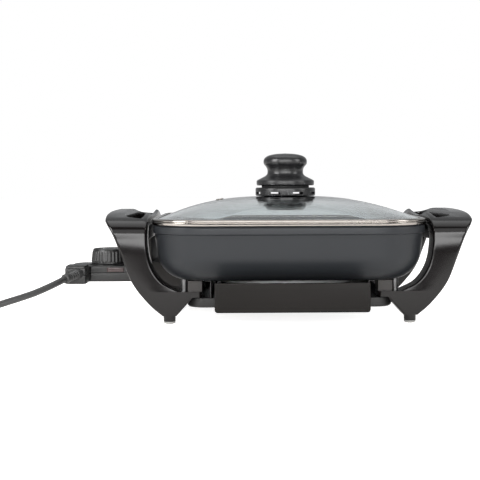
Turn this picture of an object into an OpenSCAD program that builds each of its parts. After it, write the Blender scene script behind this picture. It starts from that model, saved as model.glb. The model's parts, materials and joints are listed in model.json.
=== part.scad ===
// Electric hot pot: a square pan on two arched handle mouldings, with a lift-off glass lid,
// a pull-out tray and a plug-in heat control on a short lead.
// Left and right are as seen from the front, which faces -Y. The pan is centred on the axis
// that in_frame() sets, so that the whole object without its lead is centred on the origin.

/* [Pan] */
// Width and depth of the pan over its rim
pan_w = 292; // [288:1:302]
// Corner radius of the rim, seen from above
pan_corner_r = 60; // [56:1:64]
// Height of the pan's underside above the table
pan_bottom_z = 46; // [44:1:54]
// Height of the pan from its underside to its rim
pan_h = 58; // [50:1:80]
// Outer radius between the floor and the side
pan_round_r = 32; // [29:1:33]
// Lean of the side, in degrees
pan_lean = 7; // [4:1:9]
// Wall thickness of the side
pan_wall = 3.5; // [2.5:0.5:5]
// Floor thickness
pan_floor = 4; // [3:0.5:6]
// Height of the thicker band below the rim
rim_band_h = 8.6; // [6:0.2:12]
// How far the band stands out from the side
rim_band_out = 0.8; // [0.4:0.1:1.5]

/* [Heater] */
// Mean radius of the heating loop
loop_r = 70; // [60:1:72]
// Diameter of the sheathed element
element_d = 6.6; // [6:0.2:6.8]
// Width of the cast ring round the element
casting_w = 20; // [16:1:22]
// Height of the cast ring below the pan
casting_h = 9; // [8.5:0.5:10]
// Distance of each terminal pin from the middle
pin_y = 13; // [11.5:0.5:15]
// Diameter of a terminal pin
pin_d = 4.8; // [4:0.2:5]
// Diameter of the heat probe
probe_d = 6.4; // [5:0.2:6.6]

/* [Handles] */
// Reach of a handle's tip beyond the pan's rim
handle_out = 51.5; // [46.5:1:56.5]
// Height of the grips
handle_top_z = 118.6; // [117.6:1:126.6]
// Distance from the middle to the legs' front and rear faces
leg_face_y = 114; // [110:1:118]
// Depth of a leg, front to back
leg_depth = 30; // [26:1:34]
// Thickness of the grip
grip_t = 16; // [12:1:20]
// Inner radius of the bend from leg to grip
arch_r = 14; // [10:1:18]
// Width of the finger slot
slot_w = 21; // [18:1:24]
// Thickness of the strip between slot and pan
strip_t = 6; // [4:0.5:8]
// Wall of the hollow legs
leg_wall = 5; // [3.5:0.5:7]

/* [Feet] */
// Diameter of a foot
foot_d = 13; // [11:0.5:15]
// Height of a foot with its pad
foot_h = 9.4; // [8:0.2:12]
// Height of the pale pad
foot_pad_h = 2.6; // [2:0.2:4]
// Distance of a foot from the middle, front to back
foot_y = 102; // [98:1:106]

/* [Plate and tray] */
// Height of the plate's underside
plate_z = 17; // [15:0.5:18]
// Height of the plate's wall
plate_wall_h = 10.5; // [8:0.5:11]
// Sheet thickness of plate and housing
sheet_t = 1; // [0.8:0.1:1.5]
// Width of the tray's front
tray_w = 157; // [150:1:160]
// Height of the tray's front
tray_front_h = 30; // [26:1:31]
// Distance of the tray's front face from the middle
tray_front_y = 162; // [158:1:170]
// Length of the tray, front to back
tray_l = 222; // [180:2:240]
// Height of the tray's side walls
tray_side_h = 15; // [10:1:16]
// Wall of the tray
tray_wall = 2; // [1.5:0.5:3]

/* [Lid] */
// Height of the dome above the lid's rim
dome_rise = 24; // [15:1:30]
// Thickness of the glass
glass_t = 4; // [3:0.5:4.5]
// Width of the metal rim
lid_rim_w = 8; // [6:0.5:10]
// Distance of the steam eyelet from the middle, sideways
eyelet_x = 76; // [60:1:90]
// Outer diameter of the eyelet
eyelet_d = 9; // [7:0.5:12]

/* [Knob] */
// Diameter of the knob's cap
knob_d = 50.5; // [44:0.5:58]
// Diameter of the knob's neck
neck_d = 41; // [34:0.5:44]
// Diameter of the knob's skirt
skirt_d = 66.5; // [60:0.5:72]
// Height of the knob
knob_h = 37; // [32:1:44]
// Diameter of the window ring
vent_ring_d = 69; // [64:0.5:76]
// Height of the window ring
vent_ring_h = 9.5; // [8:0.5:14]
// Number of windows
window_count = 8; // [6:1:10]
// Height of a window
window_h = 2.6; // [2:0.2:5]
// Diameter of the disc under the glass
retainer_d = 46.7; // [40:0.5:56]

/* [Control] */
// Width of the control's body, front to back
control_w = 56; // [50:1:60]
// Height of the lower shell
control_lower_h = 10; // [9:0.5:11]
// Height of the upper shell
control_upper_h = 8; // [6:0.5:10]
// Wall of the shells
shell_t = 1.6; // [1.2:0.1:1.6]
// Reach of the control's outer end beyond the pan's rim
control_out = 100; // [96:1:110]
// Diameter of the dial at its foot
dial_d = 50; // [44:1:52]
// Height of the dial
dial_h = 16.3; // [12:0.5:20]
// Number of grip ribs on the dial
dial_ribs = 36; // [24:2:44]

/* [Lead] */
// Diameter of the lead
cord_d = 7; // [6:0.5:8]

/* [Hidden] */
$fn = 64;

// Clearances
fit = 0.3;
slide_fit = 1;
eps = 0.01;

// Handles, control and lead are placed from the pan's rim
pan_half = pan_w / 2;
handle_reach = pan_half + handle_out;
control_reach = pan_half + control_out;

// Frame: the pan's axis is moved so that the part without its lead is centred
frame_x = (control_out - handle_out) / 2;
frame_y = (tray_front_y - (pan_half + 1)) / 2;

// Pan
corner_at = pan_half - pan_corner_r;
rim_z = pan_bottom_z + pan_h;
pan_inner_floor_z = pan_bottom_z + pan_floor;
wall_top_r = pan_corner_r - rim_band_out;
round_z = pan_bottom_z + pan_round_r;
tangent_z = round_z - pan_round_r * sin(pan_lean);
round_at = wall_top_r - (rim_z - tangent_z) * tan(pan_lean) - pan_round_r * cos(pan_lean);
flat_half = corner_at + round_at;

// Heater
element_z = pan_bottom_z - element_d / 2 - 0.1;
casting_outer_r = loop_r + casting_w / 2;
lug_end_x = 28 - pan_half;
pin_tip_x = -9 - pan_half;
lug_l = -lug_end_x - loop_r;

// Handles, in pairs of height and reach
arm_top_z = pan_bottom_z - 11.4;
arm_bottom_z = plate_z + plate_wall_h + 1;
housing_x = tray_w / 2 + 6;
housing_flange = 6;
arm_gap = 3.5;
arm_x = housing_x - sheet_t + housing_flange + arm_gap;
plate_screw_x = arm_x + 4;
block_end_x = arm_x + 14.7;
post_d = 7.6;
post_x = block_end_x + post_d / 2 + 0.5;
arm_flat_x = post_x + post_d / 2 + 0.2;
strip_x = pan_half + 5.2;
outer_out = [
    [foot_h, -11.4], [18, -1], [28, 8.5], [38, 16.4], [48, 22.3], [66, 29.3], [87, 37.3], [104, 45.2]
];
inner_out = [[46, -9.6], [54, -3.4], [64, 1.3], [74, 3.7]];
outer_edge = [
    for (e = outer_out) [e[0], pan_half + e[1]],
    [110, handle_reach - 3.2], [114, handle_reach - 0.7],
    [116, handle_reach], [117.3, handle_reach - 0.7], [handle_top_z, handle_reach - 3]
];
inner_edge = [
    [foot_h, pan_half - 26.6], [arm_bottom_z, arm_x + 9.2], [arm_bottom_z, arm_x],
    [arm_top_z, arm_x], [arm_top_z, arm_flat_x], [37.2, arm_flat_x + 5.6], [40.8, arm_flat_x + 14],
    for (e = inner_out) [e[0], pan_half + e[1]],
    [90, strip_x], [handle_top_z, strip_x]
];
grip_bottom_z = handle_top_z - grip_t;
plate_half = plate_screw_x + 12.2;
crown_z = 95;
nest_x = plate_half + 0.8;
nest_y = plate_half - 2.4;
slot_x = strip_x + strip_t;
strip_bottom_z = 88;
leg_back_y = leg_face_y - leg_depth;

// Base: the plate's screw and the pan's post stand side by side on each arm
foot_x = pan_half - 18.5;
plate_screw_y = 96;
post_y = 98;
block_l = 25;
screw_d = 4;
screw_l = 12;
screw_head_d = 7.5;
screw_head_h = 2.7;
post_screw_z = arm_bottom_z + 3.2;

// Plate and housing
plate_corner_r = 18;
plate_top_z = plate_z + plate_wall_h;
rail_x = tray_w / 2 + slide_fit;
tray_floor_z = plate_z + sheet_t + fit;

// Lid
lid_half = pan_half + 1;
lid_seat_z = rim_z + 0.4;
lid_rim_h = glass_t + 2.8;
lid_rim_top_z = lid_seat_z + lid_rim_h;
glass_edge_z = lid_rim_top_z - 1.9;
dome_top_z = glass_edge_z + dome_rise;
glass_half = lid_half - 2.4;
glass_corner_r = pan_corner_r - 1.4;
bore_d = 8.4;

// Knob stack, from the glass up
vent_ring_z = dome_top_z + 0.2;
collar_z = vent_ring_z + vent_ring_h;
collar_h = 2.5;
collar_d = 55;
knob_z = collar_z + collar_h;
hub_d = 16;
seal_h = 3;
retainer_h = 7;
seal_z = dome_top_z - glass_t - seal_h - 0.1 - dome_rise * (1 - dome(33 / glass_half));
retainer_z = seal_z - retainer_h;

// Control: everything sits on the plug's axis
control_z = element_z - 5.1;
control_nose_x = 4 - pan_half;
control_tail_x = -82 - pan_half;
tail_inner_x = -76 - pan_half;
tail_y = -56;
seam_z = control_z + control_lower_h;
control_top_z = seam_z + control_upper_h;
tail_top_z = control_top_z + 2.5;
dial_x = -54 - pan_half;
bezel_h = 1.4;
bezel_d = dial_d + 4;
dial_z = control_top_z + bezel_h + fit;
spindle_d = 6;
guard_gap = 2;
guard_t = 2.5;
guard_flange_w = 92;
switch_size = [42, 22];
probe_back_x = control_nose_x - 28;
probe_l = 92;
bore_end_x = probe_back_x + probe_l + 4;
blade_l = 17;
plug_l = 41;
sleeve_d = pin_d + 1.6;

// Lead: the route of the free stretch, then the coil
relief_root = [-84 - pan_half, -54, 49.5];
cord_route = [
    [-96, -80, 45.5], [-102, -94, 42.6], [-111, -107, 38.6], [-121, -121, 34.8],
    [-133, -136, 31.4], [-146, -149, 28], [-160, -160, 23.5], [-174, -167.6, 18],
    [-188, -172.3, 12.5], [-201, -174.6, 8], [-214, -175, 5]
];
cord_points = [for (p = cord_route) p - [pan_half, 0, 0]];
coil_centre = [-236 - pan_half, -127];
coil_layer_h = cord_d + 1.5;
coil_pitch = cord_d + 1.5;
coil_outer_r = 48;
turns_in = 1.5;
turns_climb = 0.5;
turns_out = 1.25;
rings_per_turn = 24;
coil_sides = 6;
cord_sides = 8;
coil_z = cord_d / 2 + 0.3;

// A polygon with its corners rounded by curves that start r from each corner
function rounded(points, r, n = 5) = [
    for (i = [0 : len(points) - 1])
        let (
            b = points[i],
            a = points[(i + len(points) - 1) % len(points)],
            c = points[(i + 1) % len(points)],
            p = b + (a - b) / norm(a - b) * r,
            q = b + (c - b) / norm(c - b) * r
        )
        for (k = [0 : n])
            let (t = k / n)
            (1 - t) * (1 - t) * p + 2 * t * (1 - t) * b + t * t * q
];

// Points on an arc in a plane
function arc(centre, r, from, to, n) = [
    for (k = [0 : n])
        let (a = from + (to - from) * k / n)
        centre + r * [cos(a), sin(a)]
];

// A square outline with round corners, as n points a corner
function square_ring(half, r, n = 9) = [
    for (quarter = [0 : 3])
        for (k = [0 : n - 1])
            let (
                a = quarter * 90 + 90 * k / (n - 1),
                sx = cos(quarter * 90 + 45) > 0 ? 1 : -1,
                sy = sin(quarter * 90 + 45) > 0 ? 1 : -1
            )
            [sx * (half - r) + r * cos(a), sy * (half - r) + r * sin(a)]
];

// The whole object without its lead is centred on the origin
module in_frame() {
    translate([frame_x, frame_y, 0]) children();
}

// A closed profile, measured from a corner's centre, led round the square
module square_sweep(profile, at) {
    for (a = [0 : 90 : 270])
        rotate(a) {
            translate([at, at, 0]) rotate_extrude(angle = 90) polygon(profile);
            translate([-at, at, 0]) rotate([90, 0, 90]) linear_extrude(2 * at) polygon(profile);
        }
}

// A solid skin over rings of equal length, closed at both ends
module skin(rings) {
    m = len(rings[0]);
    n = len(rings);
    points = [for (ring = rings) for (p = ring) p];
    sides = [
        for (i = [0 : n - 2])
            for (j = [0 : m - 1])
                for (half = [0, 1])
                    let (a = i * m + j, b = i * m + (j + 1) % m)
                    half == 0 ? [a, b, b + m] : [a, b + m, a + m]
    ];
    ends = [[for (j = [m - 1 : -1 : 0]) j], [for (j = [0 : m - 1]) (n - 1) * m + j]];
    polyhedron(points, concat(sides, ends), convexity = 10);
}

// A child on each of the four sides' mirrored places
module four_times(x, y) {
    for (sx = [-1, 1])
        for (sy = [-1, 1])
            translate([sx * x, sy * y, 0]) children();
}

// PAN

function pan_outer() = concat(
    [[0, pan_bottom_z]],
    arc([round_at, round_z], pan_round_r, -90, -pan_lean, 10),
    [
        [wall_top_r - rim_band_h * tan(pan_lean), rim_z - rim_band_h],
        [pan_corner_r, rim_z - rim_band_h + 0.8],
        [pan_corner_r, rim_z - 0.8],
        [pan_corner_r - 0.8, rim_z]
    ]
);

function pan_inner() = concat(
    [[0, pan_inner_floor_z]],
    arc([round_at, round_z], pan_round_r - pan_wall, -85, -pan_lean, 9),
    [[wall_top_r - pan_wall, rim_z - 2], [wall_top_r - pan_wall + 0.6, rim_z]]
);

module pan() {
    inner = pan_inner();
    profile = concat(pan_outer(), [for (i = [len(inner) - 1 : -1 : 0]) inner[i]]);
    color([0.28, 0.29, 0.31]) in_frame() {
        square_sweep(profile, corner_at);
        translate([-corner_at, -corner_at, pan_bottom_z])
            cube([2 * corner_at, 2 * corner_at, pan_floor]);
    }
}

// HEATER

module element_shape(d) {
    gap = asin(pin_y / loop_r);
    translate([0, 0, element_z]) {
        rotate(180 + gap) rotate_extrude(angle = 360 - 2 * gap) translate([loop_r, 0]) circle(d = d);
        for (s = [-1, 1])
            translate([-loop_r * cos(gap) + 2, s * pin_y, 0]) rotate([0, -90, 0])
                cylinder(d = d - 0.8, h = 2 - lug_end_x - loop_r * cos(gap));
    }
}

module heater_casting() {
    color([0.75, 0.76, 0.77]) in_frame() difference() {
        union() {
            rotate_extrude() polygon([
                [loop_r - casting_w / 2, pan_bottom_z],
                [loop_r - casting_w / 2, pan_bottom_z - casting_h + 1.5],
                [loop_r - casting_w / 2 + 1.5, pan_bottom_z - casting_h],
                [casting_outer_r - 1.5, pan_bottom_z - casting_h],
                [casting_outer_r, pan_bottom_z - casting_h + 1.5],
                [casting_outer_r, pan_bottom_z]
            ]);
            translate([-loop_r - lug_l, -pin_y - 6, pan_bottom_z - casting_h])
                cube([lug_l, 2 * pin_y + 12, casting_h]);
        }
        element_shape(element_d + 0.1);
        translate([-loop_r - lug_l - 1, 0, element_z]) rotate([0, 90, 0])
            cylinder(d = probe_d + 2 * fit, h = bore_end_x + loop_r + lug_l + 1);
    }
}

module heating_element() {
    color([0.45, 0.43, 0.42]) in_frame() element_shape(element_d);
}

module terminal_pins() {
    color([0.8, 0.8, 0.78]) in_frame()
        for (s = [-1, 1])
            translate([lug_end_x, s * pin_y, element_z]) rotate([0, -90, 0]) {
                cylinder(d = pin_d, h = lug_end_x - pin_tip_x - pin_d / 2);
                translate([0, 0, lug_end_x - pin_tip_x - pin_d / 2]) sphere(d = pin_d);
            }
}

// The pan's outside, grown a little, for cutting what sits against it
module pan_body(grow) {
    square_sweep([for (p = pan_outer()) [p[0] == 0 ? 0 : p[0] + grow, p[1] - (p[0] == 0 ? grow : 0)],
        [0, rim_z]], corner_at);
    translate([-corner_at, -corner_at, pan_bottom_z - grow])
        cube([2 * corner_at, 2 * corner_at, pan_h + grow]);
}

module terminal_guard() {
    inner_w = control_w + 2 * guard_gap;
    inner_bottom = control_z - guard_gap;
    inner_top = control_top_z + guard_gap;
    back_x = lug_end_x - 0.2;
    mouth_x = -pan_half - 10;
    color([0.14, 0.13, 0.12]) difference() {
        in_frame() difference() {
            union() {
                translate([mouth_x, -inner_w / 2 - guard_t, inner_bottom - guard_t])
                    cube([back_x - mouth_x, inner_w + 2 * guard_t, inner_top - inner_bottom + 2 * guard_t]);
                translate([mouth_x, -guard_flange_w / 2, inner_top])
                    cube([4.5, guard_flange_w, strip_bottom_z - inner_top - fit]);
            }
            translate([mouth_x - 1, -inner_w / 2, inner_bottom])
                cube([back_x - mouth_x + 1 - guard_t, inner_w, inner_top - inner_bottom]);
            for (y = [-pin_y, 0, pin_y])
                translate([back_x - 10, y, element_z]) rotate([0, 90, 0])
                    cylinder(d = sleeve_d + 2, h = 20);
        }
        in_frame() pan_body(1);
    }
}

// HANDLES

// The moulding seen from the front, from the feet up: its outer edge, then its inner edge down
function handle_front() = concat(
    [for (e = outer_edge) [e[1], e[0]]],
    [for (i = [len(inner_edge) - 1 : -1 : 0]) [inner_edge[i][1], inner_edge[i][0]]]
);

// The arch seen from the side: two legs and the grip over them
function handle_side() = let (inner_top = grip_bottom_z)
concat(
    [[-leg_face_y, foot_h]],
    [for (a = [180 : -6 : 0]) crown_point(a)],
    [[leg_face_y, foot_h], [leg_back_y, foot_h]],
    arc([leg_back_y - arch_r, inner_top - arch_r], arch_r, 0, 90, 6),
    arc([-leg_back_y + arch_r, inner_top - arch_r], arch_r, 90, 180, 6),
    [[-leg_back_y, foot_h]]
);

// The arch's upper outline, a rounder curve than an ellipse
function crown_point(a) = [
    leg_face_y * sign(cos(a)) * pow(abs(cos(a)), 2 / 4.5),
    crown_z + (handle_top_z - crown_z) * pow(abs(sin(a)), 2 / 4.5)
];

// The arch cut out of the moulding's front outline
module handle_body() {
    intersection() {
        rotate([90, 0, 0]) linear_extrude(2 * leg_face_y + 20, center = true)
            polygon(handle_front());
        translate([arm_x - 5, 0, 0]) rotate([90, 0, 90]) linear_extrude(handle_reach - arm_x + 20)
            polygon(handle_side());
    }
}

module handle() {
    slot_end = leg_face_y - 22;
    difference() {
        union() {
            difference() {
                handle_body();
                leg_pockets();
            }
            // The strip's web beside the pan
            translate([strip_x, -leg_back_y - 2, strip_bottom_z])
                cube([strip_t, 2 * leg_back_y + 4, grip_bottom_z + 6 - strip_bottom_z]);
        }
        // The finger slot through the grip
        translate([0, 0, grip_bottom_z - 25]) linear_extrude(grip_t + 40) polygon(rounded([
            [slot_x, -slot_end], [slot_x + slot_w - 5, -slot_end + 6],
            [slot_x + slot_w, -slot_end + 18], [slot_x + slot_w, slot_end - 18],
            [slot_x + slot_w - 5, slot_end - 6], [slot_x, slot_end]
        ], 3, 3));
        // Room for the plate's corner behind the leg's face
        translate([arm_x - 1, -nest_y, foot_h - 1])
            cube([nest_x - arm_x + 1, 2 * nest_y, arm_bottom_z - foot_h + 1]);
        // The strip dips towards the middle
        translate([strip_x - 3, 0, handle_top_z + 340 - 8]) rotate([0, 90, 0])
            cylinder(r = 340, h = strip_t + 3, $fn = 360);
        for (s = [-1, 1]) {
            translate([plate_screw_x, s * plate_screw_y, arm_bottom_z - 5])
                cylinder(d = screw_d + 0.5, h = 15);
            translate([post_x, s * post_y, arm_bottom_z - 5]) cylinder(d = screw_d + 0.5, h = 15);
            translate([post_x, s * post_y, arm_bottom_z - 5])
                cylinder(d = screw_head_d + 1, h = post_screw_z - arm_bottom_z + 5);
        }
    }
}

// Pockets in the backs of the legs, with a rib between them
module leg_pockets() {
    depth = leg_depth - leg_wall;
    for (s = [-1, 1])
        for (span = [[42, 66], [70, 92]])
            translate([0, s * leg_back_y, 0]) rotate([90, 0, 0])
                translate([0, 0, s > 0 ? -depth : -1]) linear_extrude(depth + 1)
                    polygon([
                        [lookup(span[0], inner_edge) + leg_wall, span[0]],
                        [lookup(span[0], outer_edge) - leg_wall, span[0]],
                        [lookup(span[1], outer_edge) - leg_wall, span[1]],
                        [lookup(span[1], inner_edge) + leg_wall, span[1]]
                    ]);
}

module right_handle() {
    color([0.12, 0.12, 0.12]) in_frame() handle();
}

module left_handle() {
    color([0.12, 0.12, 0.12]) in_frame() mirror([1, 0, 0]) handle();
}

module mounting_posts() {
    color([0.78, 0.78, 0.78]) in_frame() difference() {
        four_times(post_x, post_y)
            difference() {
                translate([0, 0, arm_top_z]) cylinder(d = post_d, h = pan_bottom_z + 3 - arm_top_z);
                translate([0, 0, arm_top_z - 1]) cylinder(d = screw_d + 0.2, h = 10.5);
            }
        // Their tops follow the pan's round underside
        pan_body(0.05);
    }
}

module spacer_blocks() {
    block_w = block_end_x - arm_x;
    color([0.2, 0.19, 0.18]) in_frame()
        difference() {
            four_times(arm_x + block_w / 2, post_y)
                translate([-block_w / 2, -block_l / 2, arm_top_z])
                    cube([block_w, block_l, pan_bottom_z - arm_top_z - 0.2]);
            four_times(plate_screw_x, plate_screw_y)
                translate([0, 0, arm_top_z - 1]) cylinder(d = screw_d + 0.2, h = 8);
        }
}

module feet() {
    color([0.12, 0.12, 0.12]) in_frame() four_times(foot_x, foot_y)
        translate([0, 0, foot_pad_h]) cylinder(d = foot_d, h = foot_h - foot_pad_h);
}

module foot_pads() {
    color([0.78, 0.77, 0.75]) in_frame() four_times(foot_x, foot_y)
        cylinder(d1 = foot_d - 5, d2 = foot_d - 0.6, h = foot_pad_h);
}

// PLATE AND TRAY

module base_plate() {
    front_cut = tray_w / 2 + slide_fit;
    inner_half = plate_half - sheet_t;
    inner_r = plate_corner_r - sheet_t;
    color([0.1, 0.1, 0.1]) in_frame() difference() {
        union() {
            difference() {
                translate([0, 0, plate_z]) linear_extrude(plate_wall_h)
                    polygon(square_ring(plate_half, plate_corner_r));
                translate([0, 0, plate_z + sheet_t]) linear_extrude(plate_wall_h)
                    polygon(square_ring(inner_half, inner_r));
            }
            // The raised pads that carry the arms
            four_times(plate_screw_x, plate_screw_y)
                translate([0, 0, plate_z]) cylinder(d = 15, h = arm_bottom_z - plate_z);
        }
        four_times(plate_screw_x, plate_screw_y) {
            translate([0, 0, plate_z - 1]) cylinder(d = 12, h = arm_bottom_z - plate_z + 1 - 1.2);
            translate([0, 0, plate_z]) cylinder(d = screw_d + 0.5, h = 20);
        }
        // The tray's way in
        translate([-front_cut, -plate_half - 1, plate_z + sheet_t])
            cube([2 * front_cut, 4, plate_wall_h]);
    }
}

module tray_housing() {
    top_z = pan_bottom_z - fit;
    floor_z = plate_z + sheet_t;
    depth = plate_half - 3;
    color([0.13, 0.12, 0.12]) in_frame() difference() {
        for (s = [0, 1]) mirror([s, 0, 0]) {
            translate([housing_x - sheet_t, -depth, floor_z]) cube([sheet_t, 2 * depth, top_z - floor_z]);
            translate([housing_x - sheet_t, -depth, top_z - sheet_t]) cube([housing_flange, 2 * depth, sheet_t]);
            // The folded rail beside the tray
            translate([rail_x, -depth, floor_z]) cube([housing_x - rail_x, 2 * depth, sheet_t]);
            translate([rail_x, -depth, floor_z]) cube([sheet_t, 2 * depth, 7]);
        }
        translate([-housing_x - 8, -pin_y - 7.5, pan_bottom_z - casting_h - 1])
            cube([20, 2 * pin_y + 15, 20]);
        // Room for the cast ring
        translate([0, 0, pan_bottom_z - casting_h - 1])
            cylinder(r = casting_outer_r + 1, h = casting_h + 2);
    }
}

module base_screw() {
    cylinder(d = screw_d, h = screw_l);
    translate([0, 0, -screw_head_h]) cylinder(d = screw_head_d, h = screw_head_h);
}

module base_screws() {
    color([0.6, 0.6, 0.62]) in_frame() {
        four_times(plate_screw_x, plate_screw_y)
            translate([0, 0, arm_bottom_z - 1.2]) base_screw();
        four_times(post_x, post_y) translate([0, 0, post_screw_z]) base_screw();
    }
}

module drip_tray() {
    front_z = tray_floor_z;
    back_y = -tray_front_y + tray_l;
    body_half = tray_w / 2 - 1;
    color([0.19, 0.18, 0.17]) in_frame() {
        // The front, with rounded lower corners
        translate([0, -tray_front_y, 0]) rotate([90, 0, 0]) translate([0, 0, -3]) linear_extrude(3)
            polygon(concat(
                arc([-tray_w / 2 + 4, front_z + 4], 4, 180, 270, 5),
                arc([tray_w / 2 - 4, front_z + 4], 4, 270, 360, 5),
                [[tray_w / 2, front_z + tray_front_h], [-tray_w / 2, front_z + tray_front_h]]
            ));
        difference() {
            translate([-body_half, -tray_front_y + 3 - eps, front_z])
                cube([2 * body_half, tray_l - 3, tray_side_h]);
            translate([-body_half + tray_wall, -tray_front_y + 3 - 2 * eps, front_z + tray_wall])
                cube([2 * (body_half - tray_wall), tray_l - 3 - tray_wall, tray_side_h]);
        }
    }
}

// LID

// Height of the glass over its edge, as a share of its rise, at a share t of its half width
function dome(t) = pow(1 - pow(t, 3), 1.2);

function glass_ring(t, drop) = let (
    half = glass_half * t,
    z = glass_edge_z + dome_rise * dome(t) - drop
)
[for (p = square_ring(half, min(half, glass_corner_r * (0.25 + 0.75 * t) * t + half * (1 - t)), 8))
    [p[0], p[1], z]];

module lid_glass() {
    steps = [0.02, 0.15, 0.27, 0.38, 0.48, 0.57, 0.65, 0.73, 0.81, 0.88, 0.94, 0.975, 1];
    under = [for (t = steps) glass_ring(t, glass_t)];
    top = [for (i = [len(steps) - 1 : -1 : 0]) glass_ring(steps[i], 0)];
    color([0.8, 0.85, 0.86, 0.4]) in_frame() difference() {
        skin(concat(under, top));
        translate([0, 0, dome_top_z - 20]) cylinder(d = bore_d, h = 40);
        at_eyelet() cylinder(d = eyelet_d - 3, h = 30, center = true);
    }
}

module lid_rim() {
    r = pan_corner_r + 1;
    z0 = lid_seat_z;
    z1 = lid_rim_top_z;
    color([0.8, 0.78, 0.75]) in_frame() square_sweep([
        [r - lid_rim_w, z0], [r - 1.6, z0], [r - 0.4, z0 + 0.6], [r, z0 + 1.8], [r, z1 - 2.2],
        [r - 0.6, z1 - 0.8], [r - 2, z1], [r - 6, z1], [r - 6, z1 - 0.7],
        [r - 2.1, z1 - 0.7], [r - 2.1, z0 + 0.8], [r - lid_rim_w, z0 + 0.8]
    ], corner_at);
}

// The eyelet's place on the glass, square to its slope
module at_eyelet() {
    t = eyelet_x / glass_half;
    slope = atan(dome_rise * 3.6 * t * t * pow(1 - t * t * t, 0.2) / glass_half);
    translate([-eyelet_x, 0, glass_edge_z + dome_rise * dome(t)]) rotate([0, -slope, 0]) children();
}

module steam_eyelet() {
    r = eyelet_d / 2;
    color([0.8, 0.8, 0.8]) in_frame() at_eyelet() rotate_extrude() polygon([
        [1.5, -glass_t - 1], [r - 1.7, -glass_t - 1], [r - 1.7, 0.3],
        [r, 0.3], [r - 0.4, 1], [r - 1.4, 1.4], [1.5, 1.2]
    ]);
}

module vent_ring() {
    r = vent_ring_d / 2;
    web = 360 / window_count;
    color([0.13, 0.13, 0.13]) in_frame() translate([0, 0, vent_ring_z]) {
        difference() {
            rotate_extrude() polygon([
                [r - 3.5, 0], [r - 0.8, 0], [r, 0.8], [r, vent_ring_h - 1], [r - 1, vent_ring_h],
                [r - 3.5, vent_ring_h]
            ]);
            for (k = [0 : window_count - 1])
                rotate(web * (k + 0.5)) translate([r - 6, -6.5, 2]) cube([12, 13, window_h]);
        }
        difference() {
            union() {
                cylinder(r = r - 3.4, h = 1.8);
                translate([0, 0, vent_ring_h - 2]) cylinder(r = r - 3.4, h = 2);
                cylinder(d = hub_d, h = vent_ring_h);
            }
            translate([0, 0, -1]) cylinder(d = bore_d, h = vent_ring_h + 2);
        }
    }
}

module knob_collar() {
    color([0.03, 0.03, 0.03]) in_frame() translate([0, 0, collar_z]) difference() {
        cylinder(d = collar_d, h = collar_h);
        translate([0, 0, -1]) cylinder(d = bore_d, h = collar_h + 2);
    }
}

module knob() {
    cap_z = knob_h - 10;
    color([0.16, 0.16, 0.17]) in_frame() translate([0, 0, knob_z]) difference() {
        rotate_extrude($fn = 96) polygon(concat(
            [[0, 0], [skirt_d / 2 - 0.6, 0], [skirt_d / 2, 0.6], [skirt_d / 2, 5.4], [skirt_d / 2 - 0.8, 6]],
            [[neck_d / 2 + 0.8, 12], [neck_d / 2, 13], [neck_d / 2, 18.6]],
            arc([neck_d / 2 - 1.2, cap_z], knob_d / 2 - neck_d / 2 + 1.2, -40, 60, 7),
            arc([0, knob_h - 76], 76, 77, 90, 4)
        ));
        translate([0, 0, -1]) cylinder(d = 6, h = 16);
    }
}

module glass_seal() {
    color([0.35, 0.36, 0.36]) in_frame() translate([0, 0, seal_z]) difference() {
        cylinder(d1 = 56, d2 = 64, h = seal_h);
        translate([0, 0, -1]) cylinder(d = bore_d, h = seal_h + 2);
    }
}

module retaining_disc() {
    color([0.2, 0.2, 0.2]) in_frame() translate([0, 0, retainer_z]) difference() {
        rotate_extrude() polygon(concat(
            [[0, 0]], arc([retainer_d / 2 - 5, 5], 5, -90, 0, 5), [[retainer_d / 2, retainer_h - 1],
            [retainer_d / 2 - 4, retainer_h], [0, retainer_h]]
        ));
        translate([0, 0, -1]) cylinder(d = bore_d, h = retainer_h + 2);
        translate([0, 0, -1]) cylinder(d = 13, h = 4);
    }
}

module knob_screw() {
    color([0.6, 0.6, 0.62]) in_frame() translate([0, 0, retainer_z]) {
        cylinder(d = 12, h = 3 - eps);
        cylinder(d = 5.7, h = knob_z - retainer_z + 13);
    }
}

// CONTROL

// Outline of the control from above: the body, and a tail that turns to the front
function control_outline(inset) = rounded([
    [control_nose_x - inset, -control_w / 2 + inset], [control_nose_x - inset, control_w / 2 - inset],
    [-control_reach + 8 + inset, control_w / 2 - inset], [-control_reach + inset, control_w / 2 - 12],
    [-control_reach + inset, tail_y + inset], [tail_inner_x - inset, tail_y + inset],
    [tail_inner_x - inset, -control_w / 2 + inset]
], 3);

module relief_aim() {
    way = cord_points[0] - relief_root;
    translate(relief_root)
        rotate([0, acos(way[2] / norm(way)), atan2(way[1], way[0])]) children();
}

module sleeve_places() {
    for (s = [-1, 1])
        translate([control_nose_x, s * pin_y, element_z]) rotate([0, -90, 0]) children();
}

module control_base() {
    color([0.1, 0.1, 0.1]) in_frame() difference() {
        translate([0, 0, control_z]) linear_extrude(control_lower_h) polygon(control_outline(0));
        translate([0, 0, control_z + shell_t]) linear_extrude(control_lower_h)
            polygon(control_outline(shell_t));
        sleeve_places() translate([0, 0, -1]) cylinder(d = sleeve_d + 0.2, h = 8);
        translate([control_nose_x + 1, 0, element_z]) rotate([0, -90, 0]) cylinder(d = probe_d + 0.2, h = 8);
        relief_aim() translate([0, 0, -8]) cylinder(d = 10.4, h = 40);
    }
}

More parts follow.
